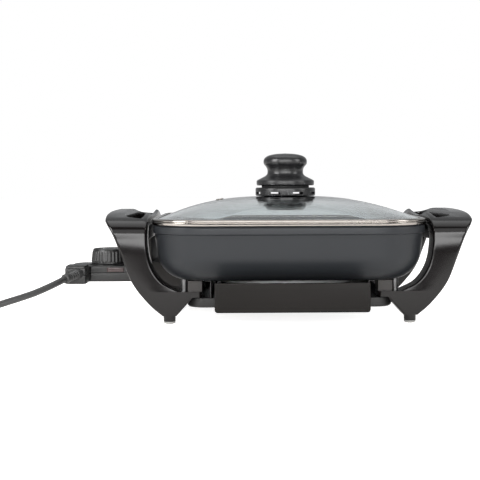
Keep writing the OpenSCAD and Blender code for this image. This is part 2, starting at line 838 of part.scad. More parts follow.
module control_cover() {
    color([0.12, 0.12, 0.12]) in_frame() difference() {
        union() {
            translate([0, 0, seam_z]) linear_extrude(control_upper_h - 1.2) polygon(control_outline(0));
            translate([0, 0, seam_z]) linear_extrude(control_upper_h) polygon(control_outline(1));
            translate([0, 0, seam_z]) linear_extrude(tail_top_z - seam_z)
                polygon(rounded([
                    [-control_reach + 1, tail_y + 1], [tail_inner_x - 1, tail_y + 1],
                    [tail_inner_x - 1, -control_w / 2 - 2], [-control_reach + 1, -control_w / 2 - 2]
                ], 3));
        }
        translate([0, 0, seam_z - 1]) linear_extrude(control_upper_h - shell_t + 1)
            polygon(control_outline(shell_t + 0.4));
        translate([dial_x, 0, seam_z]) cylinder(d = spindle_d + 1, h = 20);
        translate([dial_x, 0, control_top_z]) cylinder(d = bezel_d + 2 * fit, h = 20);
        translate([dial_x - 3, -control_w / 2 - 1, seam_z + 0.9]) cube([19, 4, 5.2]);
        relief_aim() translate([0, 0, -8]) cylinder(d = 10.4, h = 40);
    }
}

module indicator_lens() {
    color([0.6, 0.15, 0.12]) in_frame()
        translate([dial_x - 2.9, -control_w / 2 - 0.4, seam_z + 1]) cube([18.8, 3.2, 5]);
}

module dial_bezel() {
    color([0.75, 0.75, 0.75]) in_frame() translate([dial_x, 0, control_top_z]) difference() {
        cylinder(d1 = bezel_d, d2 = bezel_d - 1.2, h = bezel_h);
        translate([0, 0, -1]) cylinder(d = spindle_d + 1, h = bezel_h + 2);
    }
}

module temperature_dial() {
    color([0.13, 0.13, 0.13]) in_frame() translate([dial_x, 0, dial_z]) difference() {
        union() {
            cylinder(d1 = dial_d - 1.6, d2 = dial_d - 5.2, h = dial_h);
            for (k = [0 : dial_ribs - 1])
                rotate(360 / dial_ribs * k) translate([0, 0, 1])
                    rotate([0, -atan(1.8 / dial_h), 0])
                        translate([dial_d / 2 - 1.8, -0.7, 0]) cube([1.3, 1.4, dial_h - 2.5]);
        }
        translate([0, 0, -1]) cylinder(d = spindle_d + 0.1, h = dial_h - 3);
        translate([0, 0, dial_h - 0.8]) cylinder(d = dial_d - 10, h = 2);
    }
}

module dial_spindle() {
    color([0.6, 0.6, 0.6]) in_frame() translate([dial_x, 0, control_top_z - 5])
        cylinder(d = spindle_d, h = dial_z + dial_h - 5 - control_top_z + 5);
}

module thermostat_switch() {
    color([0.7, 0.66, 0.55]) in_frame() translate([dial_x - 12, -switch_size[1] / 2, control_z + shell_t])
        cube([switch_size[0], switch_size[1], control_top_z - 5.3 - control_z - shell_t]);
}

module probe_rod() {
    color([0.75, 0.75, 0.75]) in_frame() translate([probe_back_x, 0, element_z]) rotate([0, 90, 0]) {
        cylinder(d = probe_d, h = probe_l - probe_d / 2);
        translate([0, 0, probe_l - probe_d / 2]) sphere(d = probe_d);
    }
}

module contact_sleeves() {
    color([0.85, 0.75, 0.4]) in_frame() sleeve_places() difference() {
        cylinder(d = sleeve_d, h = 24);
        translate([0, 0, -1]) cylinder(d = pin_d + 0.4, h = 22);
    }
}

module strain_relief() {
    way = norm(cord_points[0] - relief_root);
    color([0.2, 0.2, 0.2]) in_frame() relief_aim() rotate_extrude() polygon([
        [0, -6], [5, -6], [5, way - 8], [5.4, way - 7.5], [5.4, way - 1], [5, way], [0, way]
    ]);
}

// LEAD

function unit(v) = v / norm(v);

// Rings of a round tube along points, square to the path at each one
function tube_rings(points, d, sides) = [
    for (i = [0 : len(points) - 1])
        let (
            way = unit(points[min(i + 1, len(points) - 1)] - points[max(i - 1, 0)]),
            across = unit(cross(way, [0, 0, 1])),
            up = cross(across, way)
        )
        [for (k = [0 : sides - 1])
            let (a = 360 * (k + 0.5) / sides)
            points[i] + d / 2 * (cos(a) * across + sin(a) * up)]
];

// The coil: in on the lower layer, a climb, and out again on the upper one
turns = turns_in + turns_climb + turns_out;
coil_steps = round(turns * rings_per_turn);

function coil_radius(t) =
    t < turns_in ? coil_outer_r - coil_pitch * t
    : t < turns_in + turns_climb ? coil_outer_r - coil_pitch * turns_in
    : coil_outer_r - coil_pitch * turns_in + coil_pitch * (t - turns_in - turns_climb);

function coil_height(t) =
    coil_z + coil_layer_h * min(1, max(0, (t - turns_in) / turns_climb));

function coil_point(t) = let (a = -90 - 360 * t)
    [coil_centre[0] + coil_radius(t) * cos(a), coil_centre[1] + coil_radius(t) * sin(a), coil_height(t)];

coil_path = [for (i = [0 : coil_steps]) coil_point(i * turns / coil_steps)];
coil_start = coil_path[0] + [cord_d, 0, 0];
plug_half_h = 11;
coil_out = coil_path[coil_steps] + [0, cord_d, 0];
coil_end = [coil_out[0], coil_out[1] + 32, plug_half_h + 0.3];
coil_points = concat([coil_start], coil_path, [coil_out, coil_end]);

// Least distance between points of the coil that lie at least a third of a turn apart
coil_gap = min([
    for (i = [0 : len(coil_points) - 1])
        for (j = [i + 8 : 1 : len(coil_points) - 1])
            norm(coil_points[i] - coil_points[j])
]) - cord_d;
echo(coil_gap = coil_gap);

module cord_free() {
    color([0.27, 0.27, 0.27]) in_frame()
        skin(tube_rings(concat(cord_points, [coil_start]), cord_d, cord_sides));
}

module cord_coil() {
    color([0.27, 0.27, 0.27]) in_frame() skin(tube_rings(coil_points, cord_d, coil_sides));
}

module plug_body() {
    color([0.16, 0.16, 0.16]) in_frame() translate(coil_end + [0, 0.1, 0]) rotate([-90, 0, 0]) {
        cylinder(d1 = 9, d2 = 12, h = 16);
        translate([0, 0, 15]) linear_extrude(plug_l - 15) polygon(rounded([
            [-13, -plug_half_h], [13, -plug_half_h], [13, plug_half_h], [-13, plug_half_h]
        ], 4));
    }
}

module plug_blades() {
    color([0.8, 0.75, 0.5]) in_frame() translate(coil_end) rotate([-90, 0, 0])
        for (s = [-1, 1]) translate([s * 6.35 - 0.75, -3.2, plug_l + 0.1]) cube([1.5, 6.4, blade_l]);
}

pan();
heater_casting();
heating_element();
terminal_pins();
terminal_guard();
left_handle();
right_handle();
mounting_posts();
spacer_blocks();
base_plate();
tray_housing();
base_screws();
feet();
foot_pads();
drip_tray();
lid_glass();
lid_rim();
steam_eyelet();
vent_ring();
knob_collar();
knob();
glass_seal();
retaining_disc();
knob_screw();
control_base();
control_cover();
dial_bezel();
indicator_lens();
temperature_dial();
dial_spindle();
thermostat_switch();
probe_rod();
contact_sleeves();
strain_relief();
cord_free();
cord_coil();
plug_body();
plug_blades();
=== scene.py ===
"""Electric hot pot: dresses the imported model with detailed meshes, materials, lights and a camera.

Pieces are drawn in millimetres about the pan's middle, as the model's own source is, and are
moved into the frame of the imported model, in metres, when their meshes are made.
"""

import json
import logging
import math
from dataclasses import dataclass
from enum import Enum
from typing import Callable, Sequence

import bmesh
import bpy
from mathutils import Matrix, Vector


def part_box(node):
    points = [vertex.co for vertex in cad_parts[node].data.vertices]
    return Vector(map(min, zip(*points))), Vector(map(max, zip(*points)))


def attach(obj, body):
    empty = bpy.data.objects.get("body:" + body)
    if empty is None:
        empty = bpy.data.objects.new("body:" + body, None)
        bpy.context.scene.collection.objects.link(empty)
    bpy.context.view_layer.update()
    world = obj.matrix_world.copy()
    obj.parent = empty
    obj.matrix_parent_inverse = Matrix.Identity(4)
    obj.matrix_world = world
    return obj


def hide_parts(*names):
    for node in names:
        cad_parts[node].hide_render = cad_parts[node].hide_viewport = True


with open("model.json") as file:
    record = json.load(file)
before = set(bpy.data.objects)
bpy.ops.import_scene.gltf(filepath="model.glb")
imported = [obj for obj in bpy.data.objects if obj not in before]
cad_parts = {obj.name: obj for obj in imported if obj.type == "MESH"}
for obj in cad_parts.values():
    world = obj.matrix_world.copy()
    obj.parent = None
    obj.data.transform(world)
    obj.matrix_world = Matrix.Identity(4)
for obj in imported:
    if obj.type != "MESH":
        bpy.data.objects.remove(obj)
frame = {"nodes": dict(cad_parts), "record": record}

LOG = logging.getLogger("hot_pot")
Point2 = tuple[float, float]
Point3 = tuple[float, float, float]


class Body(str, Enum):
    """The bodies that a piece can ride on."""

    BASE = "base"
    LID = "lid"
    CONTROL = "control"
    DIAL = "dial"
    TRAY = "tray"


# Where the pan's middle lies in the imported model's frame, in millimetres.
SHIFT: Point3 = (24.25, 7.5, 0.0)


def lookup(z: float, table: Sequence[Point2]) -> float:
    """Reads a value off a table by a smooth curve that never overshoots its points.

    Args:
        z: Where to read, along the table's first column.
        table: Pairs of place and value, in rising order of place.

    Returns:
        The value at z.
    """
    if z <= table[0][0]:
        return table[0][1]
    if z >= table[-1][0]:
        return table[-1][1]
    slopes = [(b[1] - a[1]) / (b[0] - a[0]) for a, b in zip(table, table[1:])]
    tangents = [slopes[0]]
    for before, after in zip(slopes, slopes[1:]):
        same_way = before * after > 0
        tangents.append(2 * before * after / (before + after) if same_way else 0.0)
    tangents.append(slopes[-1])
    i = next(k for k in range(len(slopes)) if z <= table[k + 1][0])
    width = table[i + 1][0] - table[i][0]
    t = (z - table[i][0]) / width
    return (
        (2 * t**3 - 3 * t**2 + 1) * table[i][1]
        + (t**3 - 2 * t**2 + t) * width * tangents[i]
        + (3 * t**2 - 2 * t**3) * table[i + 1][1]
        + (t**3 - t**2) * width * tangents[i + 1]
    )


def arc(centre: Point2, r: float, start: float, end: float, steps: int) -> list[Point2]:
    """Points on an arc, in degrees, both ends included."""
    angles = [math.radians(start + (end - start) * k / steps) for k in range(steps + 1)]
    return [(centre[0] + r * math.cos(a), centre[1] + r * math.sin(a)) for a in angles]


def rounded(points: Sequence[Point2], r: float | Sequence[float], steps: int = 5,
            closed: bool = True) -> list[Point2]:
    """Rounds the corners of an outline.

    Args:
        points: The outline's corners.
        r: How far from each corner its curve starts, one value or one for each corner.
        steps: Segments on each curve.
        closed: Whether the last corner joins the first.

    Returns:
        The rounded outline.
    """
    out: list[Point2] = []
    last = len(points) - 1
    for i, corner in enumerate(points):
        reach = r if isinstance(r, (int, float)) else r[i]
        if reach <= 0 or (not closed and i in (0, last)):
            out.append((float(corner[0]), float(corner[1])))
            continue
        b = Vector(corner)
        before = Vector(points[i - 1]) - b
        after = Vector(points[(i + 1) % len(points)]) - b
        p = b + before.normalized() * min(reach, before.length * 0.49)
        q = b + after.normalized() * min(reach, after.length * 0.49)
        for k in range(steps + 1):
            t = k / steps
            spot = (1 - t) ** 2 * p + 2 * t * (1 - t) * b + t**2 * q
            out.append((spot.x, spot.y))
    return out


def box_outline(low: Sequence[float], high: Sequence[float], inset: float,
                r: float | Sequence[float], steps: int) -> list[Point2]:
    """A rounded rectangle, drawn in by a distance.

    Args:
        low: Its lower left corner.
        high: Its upper right corner.
        inset: The distance.
        r: Radius of its corners, or one for each, anticlockwise from the lower left.
        steps: Segments on each corner.

    Returns:
        The outline.
    """
    x0, y0, x1, y1 = low[0] + inset, low[1] + inset, high[0] - inset, high[1] - inset
    return rounded([(x0, y0), (x1, y0), (x1, y1), (x0, y1)], r, steps)


def quarters(at: float) -> list[tuple[int, Point2]]:
    """The first angle in degrees and the centre of a square's four corners."""
    return [(0, (at, at)), (90, (-at, at)), (180, (-at, -at)), (270, (at, -at))]


def square_ring(half: float, r: float, steps: int = 14) -> list[Point2]:
    """A square outline with round corners, anticlockwise from the middle of its right side.

    Args:
        half: Half its width.
        r: Radius of its corners.
        steps: Segments on each corner.

    Returns:
        The outline.
    """
    out: list[Point2] = []
    for start, centre in quarters(half - r):
        out += arc(centre, r, start, start + 90, steps)
    return out


def smooth_path(points: Sequence[Point3], steps: int) -> list[Vector]:
    """A smooth curve through points.

    Args:
        points: The points.
        steps: Steps between each two.

    Returns:
        The curve's points.
    """
    spots = [Vector(p) for p in points]
    spots = [spots[0] * 2 - spots[1]] + spots + [spots[-1] * 2 - spots[-2]]
    out: list[Vector] = []
    for a, b, c, d in zip(spots, spots[1:], spots[2:], spots[3:]):
        for k in range(steps):
            t = k / steps
            out.append(
                0.5 * (2 * b + (c - a) * t + (2 * a - 5 * b + 4 * c - d) * t**2
                       + (3 * b - a - 3 * c + d) * t**3)
            )
    out.append(spots[-2])
    return out


class Shape:
    """Points and faces that build up to a mesh, in millimetres about the pan's middle."""

    def __init__(self) -> None:
        """Starts with no points and no faces."""
        self.points: list[Vector] = []
        self.faces: list[list[int]] = []

    def add(self, points: Sequence[Point3], faces: Sequence[Sequence[int]],
            place: Matrix | None = None) -> "Shape":
        """Adds points and faces.

        Args:
            points: The points.
            faces: The faces, by number of point.
            place: A matrix to move them by.

        Returns:
            The shape itself.
        """
        base = len(self.points)
        moved = [Vector(p) if place is None else place @ Vector(p) for p in points]
        self.points += moved
        self.faces += [[base + i for i in face] for face in faces]
        return self

    def skin(self, rings: Sequence[Sequence[Point3]], place: Matrix | None = None,
             ends: bool = True, ring_closed: bool = False) -> "Shape":
        """Adds a surface over rings of equal length.

        Args:
            rings: The rings, each a closed loop of points.
            place: A matrix to move them by.
            ends: Whether the first and the last ring are closed by a face.
            ring_closed: Whether the last ring joins the first.

        Returns:
            The shape itself.
        """
        m = len(rings[0])
        n = len(rings)
        points = [p for ring in rings for p in ring]
        faces: list[list[int]] = []
        for i in range(n if ring_closed else n - 1):
            a0 = i * m
            b0 = (i + 1) % n * m
            faces += [[a0 + j, a0 + (j + 1) % m, b0 + (j + 1) % m, b0 + j] for j in range(m)]
        if ends and not ring_closed:
            faces.append(list(range(m - 1, -1, -1)))
            faces.append(list(range((n - 1) * m, n * m)))
        return self.add(points, faces, place)

    def lathe(self, profile: Sequence[Point2], steps: int = 96, place: Matrix | None = None,
              closed: bool = False,
              ripple: Callable[[float, float], float] | None = None) -> "Shape":
        """Adds a turned form.

        Args:
            profile: Pairs of radius and height.
            steps: Segments round the axis.
            place: A matrix to move it by.
            closed: Whether the profile's last point joins its first, as in a ring.
            ripple: Added radius, from the angle in radians and the height.

        Returns:
            The shape itself.
        """
        rings = []
        for k in range(steps):
            a = 2 * math.pi * k / steps
            ring = []
            for r, z in profile:
                reach = r + (ripple(a, z) if ripple and r > 0 else 0.0)
                ring.append((reach * math.cos(a), reach * math.sin(a), z))
            rings.append(ring)
        n = len(profile)
        points = [p for ring in rings for p in ring]
        faces = []
        for i in range(steps):
            a0 = i * n
            b0 = (i + 1) % steps * n
            for j in range(n if closed else n - 1):
                k = (j + 1) % n
                faces.append([a0 + j, b0 + j, b0 + k, a0 + k])
        return self.add(points, faces, place)

    def turned(self, corners: Sequence[Point2], r: float | Sequence[float], curve: int,
               sides: int, place: Matrix | None = None, closed: bool = True) -> "Shape":
        """Adds a turned form with rounded edges.

        Args:
            corners: The corners of its section, as pairs of radius and height.
            r: How far from each corner its curve starts, one value or one for each corner.
            curve: Segments on each curve.
            sides: Segments round the axis.
            place: A matrix to move it by.
            closed: Whether it is a ring, whose last corner joins its first.

        Returns:
            The shape itself.
        """
        return self.lathe(rounded(corners, r, curve, closed), sides, place, closed)

    def bar(self, r: float, z0: float, z1: float, sides: int, place: Matrix) -> "Shape":
        """Adds a plain round bar, for cutting a hole."""
        return self.lathe([(0, z0), (r, z0), (r, z1), (0, z1)], sides, place)

    def sweep(self, profile: Sequence[Point2], at: float, steps: int) -> "Shape":
        """Leads a closed profile round a square.

        Args:
            profile: Pairs of reach beyond the corner's centre and height.
            at: Distance of the corners' centres from the middle, along X and Y.
            steps: Segments on each corner.

        Returns:
            The shape itself.
        """
        rings = []
        for start, (x, y) in quarters(at):
            for k in range(steps + 1):
                a = math.radians(start + 90 * k / steps)
                rings.append([(x + r * math.cos(a), y + r * math.sin(a), z) for r, z in profile])
        return self.skin(rings, ring_closed=True)

    def block(self, low: Point3, high: Point3, r: float, place: Matrix | None = None) -> "Shape":
        """Adds a box with rounded edges all round.

        Args:
            low: Its lowest corner.
            high: Its highest corner.
            r: Radius of its edges.
            place: A matrix to move it by.

        Returns:
            The shape itself.
        """
        r = min(r, *[(h - l) * 0.45 for l, h in zip(low, high)])
        return self.prism(lambda inset: box_outline(low, high, inset, max(r, 0.05) * 1.2, 4),
                          low[2], high[2], r, place)

    def prism(self, outline: Callable[[float], Sequence[Point2]], z0: float, z1: float, r: float,
              place: Matrix | None = None, steps: int = 4, low_r: float | None = None) -> "Shape":
        """Adds an upright prism whose rims are rounded.

        Args:
            outline: Gives the outline when it is drawn in by a distance.
            z0: Height of its underside.
            z1: Height of its top.
            r: Radius of the upper rim.
            place: A matrix to move it by.
            steps: Segments on each rounding.
            low_r: Radius of the lower rim, if it differs.

        Returns:
            The shape itself.
        """
        low = r if low_r is None else low_r
        rings = []
        for k in range(steps + 1):
            a = math.pi / 2 * k / steps
            inset, lift = low * (1 - math.sin(a)), low * (1 - math.cos(a))
            rings.append([(x, y, z0 + lift) for x, y in outline(inset)])
        for k in range(steps + 1):
            a = math.pi / 2 * k / steps
            inset, drop = r * (1 - math.cos(a)), r * (1 - math.sin(a))
            rings.append([(x, y, z1 - drop) for x, y in outline(inset)])
        return self.skin(rings, place)

    def mirrored_x(self) -> "Shape":
        """A copy of the shape with left and right changed over.

        Returns:
            The copy.
        """
        other = Shape()
        other.points = [Vector((-p.x, p.y, p.z)) for p in self.points]
        other.faces = [list(reversed(face)) for face in self.faces]
        return other

    def mesh(self, name: str) -> bpy.types.Mesh:
        """Makes the mesh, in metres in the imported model's frame.

        Args:
            name: The mesh's name.

        Returns:
            The mesh.
        """
        mesh = bpy.data.meshes.new(name)
        shift = Vector(SHIFT)
        mesh.from_pydata([tuple((p + shift) / 1000) for p in self.points], [], self.faces)
        edit = bmesh.new()
        edit.from_mesh(mesh)
        bmesh.ops.remove_doubles(edit, verts=edit.verts, dist=1e-6)
        bmesh.ops.recalc_face_normals(edit, faces=edit.faces)
        edit.to_mesh(mesh)
        edit.free()
        return mesh


def new_object(name: str, data: bpy.types.ID) -> bpy.types.Object:
    """Links a mesh, a camera or a light to the scene as an object.

    Args:
        name: The object's name.
        data: What it shows.

    Returns:
        The object.
    """
    obj = bpy.data.objects.new(name, data)
    bpy.context.scene.collection.objects.link(obj)
    return obj


def applied(obj: bpy.types.Object) -> bpy.types.Object:
    """Turns an object's modifiers into its mesh.

    Args:
        obj: The object.

    Returns:
        The same object.
    """
    graph = bpy.context.evaluated_depsgraph_get()
    mesh = bpy.data.meshes.new_from_object(obj.evaluated_get(graph))
    obj.modifiers.clear()
    obj.data = mesh
    return obj


def cut(obj: bpy.types.Object, tools: Sequence[Shape]) -> bpy.types.Object:
    """Cuts shapes out of an object and removes them.

    Args:
        obj: The object.
        tools: The shapes.

    Returns:
        The same object.
    """
    for k, shape in enumerate(tools):
        tool = new_object(f"{obj.name}_cut_{k}", shape.mesh("cut"))
        change = obj.modifiers.new("cut", "BOOLEAN")
        change.operation = "DIFFERENCE"
        change.solver = "EXACT"
        change.object = tool
        applied(obj)
        bpy.data.objects.remove(tool, do_unlink=True)
    return obj


def in_frame(points: Sequence[Point3]) -> list[Point3]:
    """Moves points in millimetres about the pan's middle into the frame, in metres."""
    return [((x + SHIFT[0]) / 1000, (y + SHIFT[1]) / 1000, z / 1000) for x, y, z in points]


# What a node's input can be given.
Value = bpy.types.NodeSocket | bpy.types.ID | float | bool | tuple | None


class Wiring:
    """Adds nodes to a tree and joins them."""

    def __init__(self, tree: bpy.types.NodeTree) -> None:
        """Takes the tree that it works on."""
        self.tree = tree

    def node(self, kind: str, *ordered: Value, setup: dict[str, str] | None = None,
             **named: Value) -> bpy.types.Node:
        """Adds a node and sets or links its inputs.

        Args:
            kind: The node's type.
            ordered: Values or sockets for its first inputs, or None to leave one out.
            setup: Choices to make on the node before its inputs are filled.
            named: Values or sockets for inputs by name, with _ for a space.

        Returns:
            The node.
        """
        node = self.tree.nodes.new(kind)
        for label, choice in (setup or {}).items():
            setattr(node, label, choice)
        pairs = list(zip(node.inputs, ordered))
        pairs += [(node.inputs[label.replace("_", " ")], value) for label, value in named.items()]
        for socket, value in pairs:
            if isinstance(value, bpy.types.NodeSocket):
                self.tree.links.new(value, socket)
            elif value is not None:
                socket.default_value = value
        return node

    def math(self, operation: str, *ordered: Value) -> bpy.types.NodeSocket:
        """Adds a shader's math node and gives its result."""
        node = self.node("ShaderNodeMath", *ordered, setup={"operation": operation})
        return node.outputs["Value"]


class Grown(Wiring):
    """A Geometry Nodes group whose named inputs carry its sizes."""

    def __init__(self, name: str, **sizes: float | int | bpy.types.ID) -> None:
        """Adds the group with a geometry in and out, and an input for each size.

        Args:
            name: The group's name.
            sizes: The inputs' values, by name.
        """
        super().__init__(bpy.data.node_groups.new(name, "GeometryNodeTree"))
        face = self.tree.interface
        face.new_socket("Geometry", in_out="OUTPUT", socket_type="NodeSocketGeometry")
        face.new_socket("Geometry", in_out="INPUT", socket_type="NodeSocketGeometry")
        kinds = {float: "Float", int: "Int", bpy.types.Object: "Object",
                 bpy.types.Material: "Material"}
        for label, value in sizes.items():
            socket = face.new_socket(label.title(), in_out="INPUT",
                                     socket_type=f"NodeSocket{kinds[type(value)]}")
            socket.default_value = value
        self.given = self.node("NodeGroupInput").outputs
        self.result = self.node("NodeGroupOutput")

    def grow(self, geometry: bpy.types.NodeSocket, obj: bpy.types.Object) -> bpy.types.Object:
        """Leads a geometry out with the group's material on it, and makes it an object's mesh.

        Args:
            geometry: What the group makes.
            obj: The object that it starts from.

        Returns:
            The same object.
        """
        coat = self.node("GeometryNodeSetMaterial", Geometry=geometry,
                         Material=self.given["Material"])
        self.tree.links.new(coat.outputs["Geometry"], self.result.inputs["Geometry"])
        obj.modifiers.new(self.tree.name, "NODES").node_group = self.tree
        return applied(obj)


def grow_tube(obj: bpy.types.Object, material: bpy.types.Material, radius: float,
              sides: int) -> bpy.types.Object:
    """Turns an object's line of edges into a round tube.

    Args:
        obj: The object with the line.
        material: What the tube is made of.
        radius: The tube's radius.
        sides: Its sides.

    Returns:
        The object.
    """
    group = Grown(f"{obj.name}_tube", radius=radius, sides=sides, material=material)
    line = group.node("GeometryNodeMeshToCurve", Mesh=group.given["Geometry"])
    ring = group.node("GeometryNodeCurvePrimitiveCircle", Resolution=group.given["Sides"],
                      Radius=group.given["Radius"])
    tube = group.node("GeometryNodeCurveToMesh", Curve=line.outputs["Curve"],
                      Profile_Curve=ring.outputs["Curve"], Fill_Caps=True)
    return group.grow(tube.outputs["Mesh"], obj)


def grow_copies(obj: bpy.types.Object, material: bpy.types.Material, part: bpy.types.Object,
                start: float, turn: float) -> bpy.types.Object:
    """Puts a copy of a part on every point of an object.

    Args:
        obj: The object with the points.
        material: What the copies are made of.
        part: The part, drawn about the origin.
        start: The first copy's turn about Z, in radians.
        turn: What each next one adds, in radians.

    Returns:
        The object.
    """
    group = Grown(f"{obj.name}_copies", part=part, start=start, turn=turn, material=material)
    given = group.given
    index = group.node("GeometryNodeInputIndex").outputs["Index"]
    angle = group.math("MULTIPLY_ADD", index, given["Turn"], given["Start"])
    spin = group.node("ShaderNodeCombineXYZ", Z=angle)
    shape = group.node("GeometryNodeObjectInfo", Object=given["Part"])
    placed = group.node("GeometryNodeInstanceOnPoints", Points=given["Geometry"],
                        Instance=shape.outputs["Geometry"], Rotation=spin.outputs["Vector"])
    real = group.node("GeometryNodeRealizeInstances", Geometry=placed.outputs["Instances"])
    return group.grow(real.outputs["Geometry"], obj)


@dataclass(frozen=True)
class Finish:
    """What a surface is made of.

    Attributes:
        color: Base colour, linear.
        rough: Roughness.
        metal: Share of metal.
        spread: How far roughness varies over the surface.
        tone: How far the colour varies, as a share.
        grain: Size of the surface's grain, in millimetres.
        relief: Height of the grain, in millimetres.
        coat: Weight of a clear coat.
        stretch: How much the grain is drawn out along X, as by brushing.
        specular: Specular level.
    """

    color: Point3
    rough: float
    metal: float = 0.0
    spread: float = 0.06
    tone: float = 0.08
    grain: float = 0.8
    relief: float = 0.01
    coat: float = 0.0
    stretch: float = 1.0
    specular: float = 0.5


def new_material(name: str) -> tuple[bpy.types.Material, bpy.types.Node, Wiring]:
    """A new node material.

    Args:
        name: Its name.

    Returns:
        The material, its shader and its wiring.
    """
    material = bpy.data.materials.new(name)
    material.use_nodes = True
    return material, material.node_tree.nodes["Principled BSDF"], Wiring(material.node_tree)


def add_bump(wiring: Wiring, shader: bpy.types.Node, height: Value, depth: float,
             strength: float) -> None:
    """Gives a shader a relief.

    Args:
        wiring: Adds the nodes.
        shader: The shader.
        height: The relief's height, as a share of its depth.
        depth: Its depth, in metres.
        strength: How far it shows.
    """
    bump = wiring.node("ShaderNodeBump", Height=height, Distance=depth, Strength=strength)
    wiring.tree.links.new(bump.outputs["Normal"], shader.inputs["Normal"])


def surface(name: str, finish: Finish) -> bpy.types.Material:
    """An opaque surface with grain, uneven gloss and a little change of tone.

    Args:
        name: The material's name.
        finish: What it is made of.

    Returns:
        The material.
    """
    material, shader, wiring = new_material(name)
    shader.inputs["Metallic"].default_value = finish.metal
    shader.inputs["Coat Weight"].default_value = finish.coat
    shader.inputs["Coat Roughness"].default_value = 0.08
    shader.inputs["Specular IOR Level"].default_value = finish.specular
    place = wiring.node("ShaderNodeTexCoord").outputs["Object"]
    stretch = wiring.node("ShaderNodeMapping", Vector=place, Scale=(1 / finish.stretch, 1, 1))
    cloud = wiring.node("ShaderNodeTexNoise", Vector=place, Scale=22, Detail=5).outputs["Fac"]
    fine = wiring.node("ShaderNodeTexNoise", Vector=stretch.outputs["Vector"],
                       Scale=1000 / finish.grain, Detail=3).outputs["Fac"]
    low, high = ((*(min(1.0, c * (1 + change)) for c in finish.color), 1)
                 for change in (-finish.tone, finish.tone))
    tone = wiring.node("ShaderNodeMix", setup={"data_type": "RGBA"}, Factor=cloud, A=low, B=high)
    gloss = wiring.node("ShaderNodeMapRange", Value=wiring.math("MULTIPLY", fine, cloud),
                        From_Min=0.1, From_Max=0.45,
                        To_Min=max(0.02, finish.rough - finish.spread),
                        To_Max=min(1.0, finish.rough + finish.spread))
    wiring.tree.links.new(tone.outputs["Result"], shader.inputs["Base Color"])
    wiring.tree.links.new(gloss.outputs["Result"], shader.inputs["Roughness"])
    if finish.relief > 0:
        add_bump(wiring, shader, fine, finish.relief / 1000, 0.8)
    return material


def clear_glass(name: str) -> bpy.types.Material:
    """Clear glass with a grey-green tint and faint waviness.

    Args:
        name: The material's name.

    Returns:
        The material.
    """
    material, shader, wiring = new_material(name)
    for label, value in (("Base Color", (0.80, 0.845, 0.855, 1)), ("Roughness", 0.02),
                         ("IOR", 1.5), ("Transmission Weight", 1.0)):
        shader.inputs[label].default_value = value
    place = wiring.node("ShaderNodeTexCoord").outputs["Object"]
    wave = wiring.node("ShaderNodeTexNoise", Vector=place, Scale=30, Detail=1)
    add_bump(wiring, shader, wave.outputs["Fac"], 0.0002, 0.04)
    return material


# The opaque finishes, most of them by their slot in the record.
FINISHES: dict[str, Finish] = {
    "pan_coat": Finish((0.0130, 0.0142, 0.0160), 0.38, spread=0.05, tone=0.05, grain=0.5,
                       relief=0.012, specular=0.25),
    # The casting is bare aluminium. Its pale, mostly matt colour is also a painted highlight: it
    # stands in for the silver glints the casting shows in the shade under the pan.
    "casting": Finish((0.62, 0.63, 0.63), 0.42, metal=0.2, grain=1.2, relief=0.03, tone=0.1),
    "element_sheath": Finish((0.22, 0.19, 0.17), 0.55, metal=1, tone=0.2),
    "bright_steel": Finish((0.16, 0.16, 0.16), 0.42, metal=1, grain=0.6, relief=0.006, stretch=12),
    "guard_plastic": Finish((0.009, 0.007, 0.006), 0.55, grain=0.9, relief=0.03),
    "handle_plastic": Finish((0.0024, 0.0018, 0.0018), 0.17, grain=0.7, relief=0.006, tone=0.12,
                             spread=0.03, specular=0.38),
    "plate_paint": Finish((0.006, 0.006, 0.006), 0.45, grain=0.9, relief=0.02),
    "screw_steel": Finish((0.5, 0.5, 0.52), 0.32, metal=1, tone=0.12),
    "pale_rubber": Finish((0.20, 0.20, 0.19), 0.6, grain=0.6, relief=0.03, tone=0.12),
    "tray_paint": Finish((0.0036, 0.0029, 0.0024), 0.45, grain=0.8, relief=0.015, tone=0.1,
                         specular=0.15),
    "stainless": Finish((0.35, 0.325, 0.30), 0.16, metal=1, grain=0.8, relief=0.004, stretch=10),
    "knob_plastic": Finish((0.007, 0.007, 0.0075), 0.30, grain=0.7, relief=0.01, tone=0.1),
    "black_rubber": Finish((0.006, 0.006, 0.006), 0.7, grain=0.5, relief=0.02),
    "grey_rubber": Finish((0.26, 0.28, 0.275), 0.6, grain=0.5, relief=0.02),
    "control_plastic": Finish((0.006, 0.006, 0.006), 0.4, grain=0.6, relief=0.02, tone=0.12),
    "dial_ring": Finish((0.035, 0.035, 0.035), 0.32, metal=1, grain=0.6, relief=0.004),
    "red_lens": Finish((0.022, 0.006, 0.006), 0.28, grain=0.9, relief=0.01, coat=0.6, tone=0.15),
    "switch_plastic": Finish((0.5, 0.44, 0.3), 0.5),
    "brass": Finish((0.72, 0.52, 0.22), 0.3, metal=1, tone=0.1),
    "cord_sheath": Finish((0.024, 0.024, 0.024), 0.48, grain=0.5, relief=0.02, tone=0.12),
    "plug_plastic": Finish((0.025, 0.025, 0.025), 0.42, grain=0.6, relief=0.02),
    "pale_plastic": Finish((0.24, 0.265, 0.255), 0.4, grain=0.6, relief=0.01),
    "marks": Finish((0.62, 0.62, 0.60), 0.5, grain=0.4, relief=0.0),
}

# Nodes of the imported model that take another finish than their slot's. The mounting posts take
# steel because the casting finish is lightened to paint in glints in the shade under the pan.
NODE_FINISHES: dict[str, str] = {"mounting_posts": "bright_steel"}


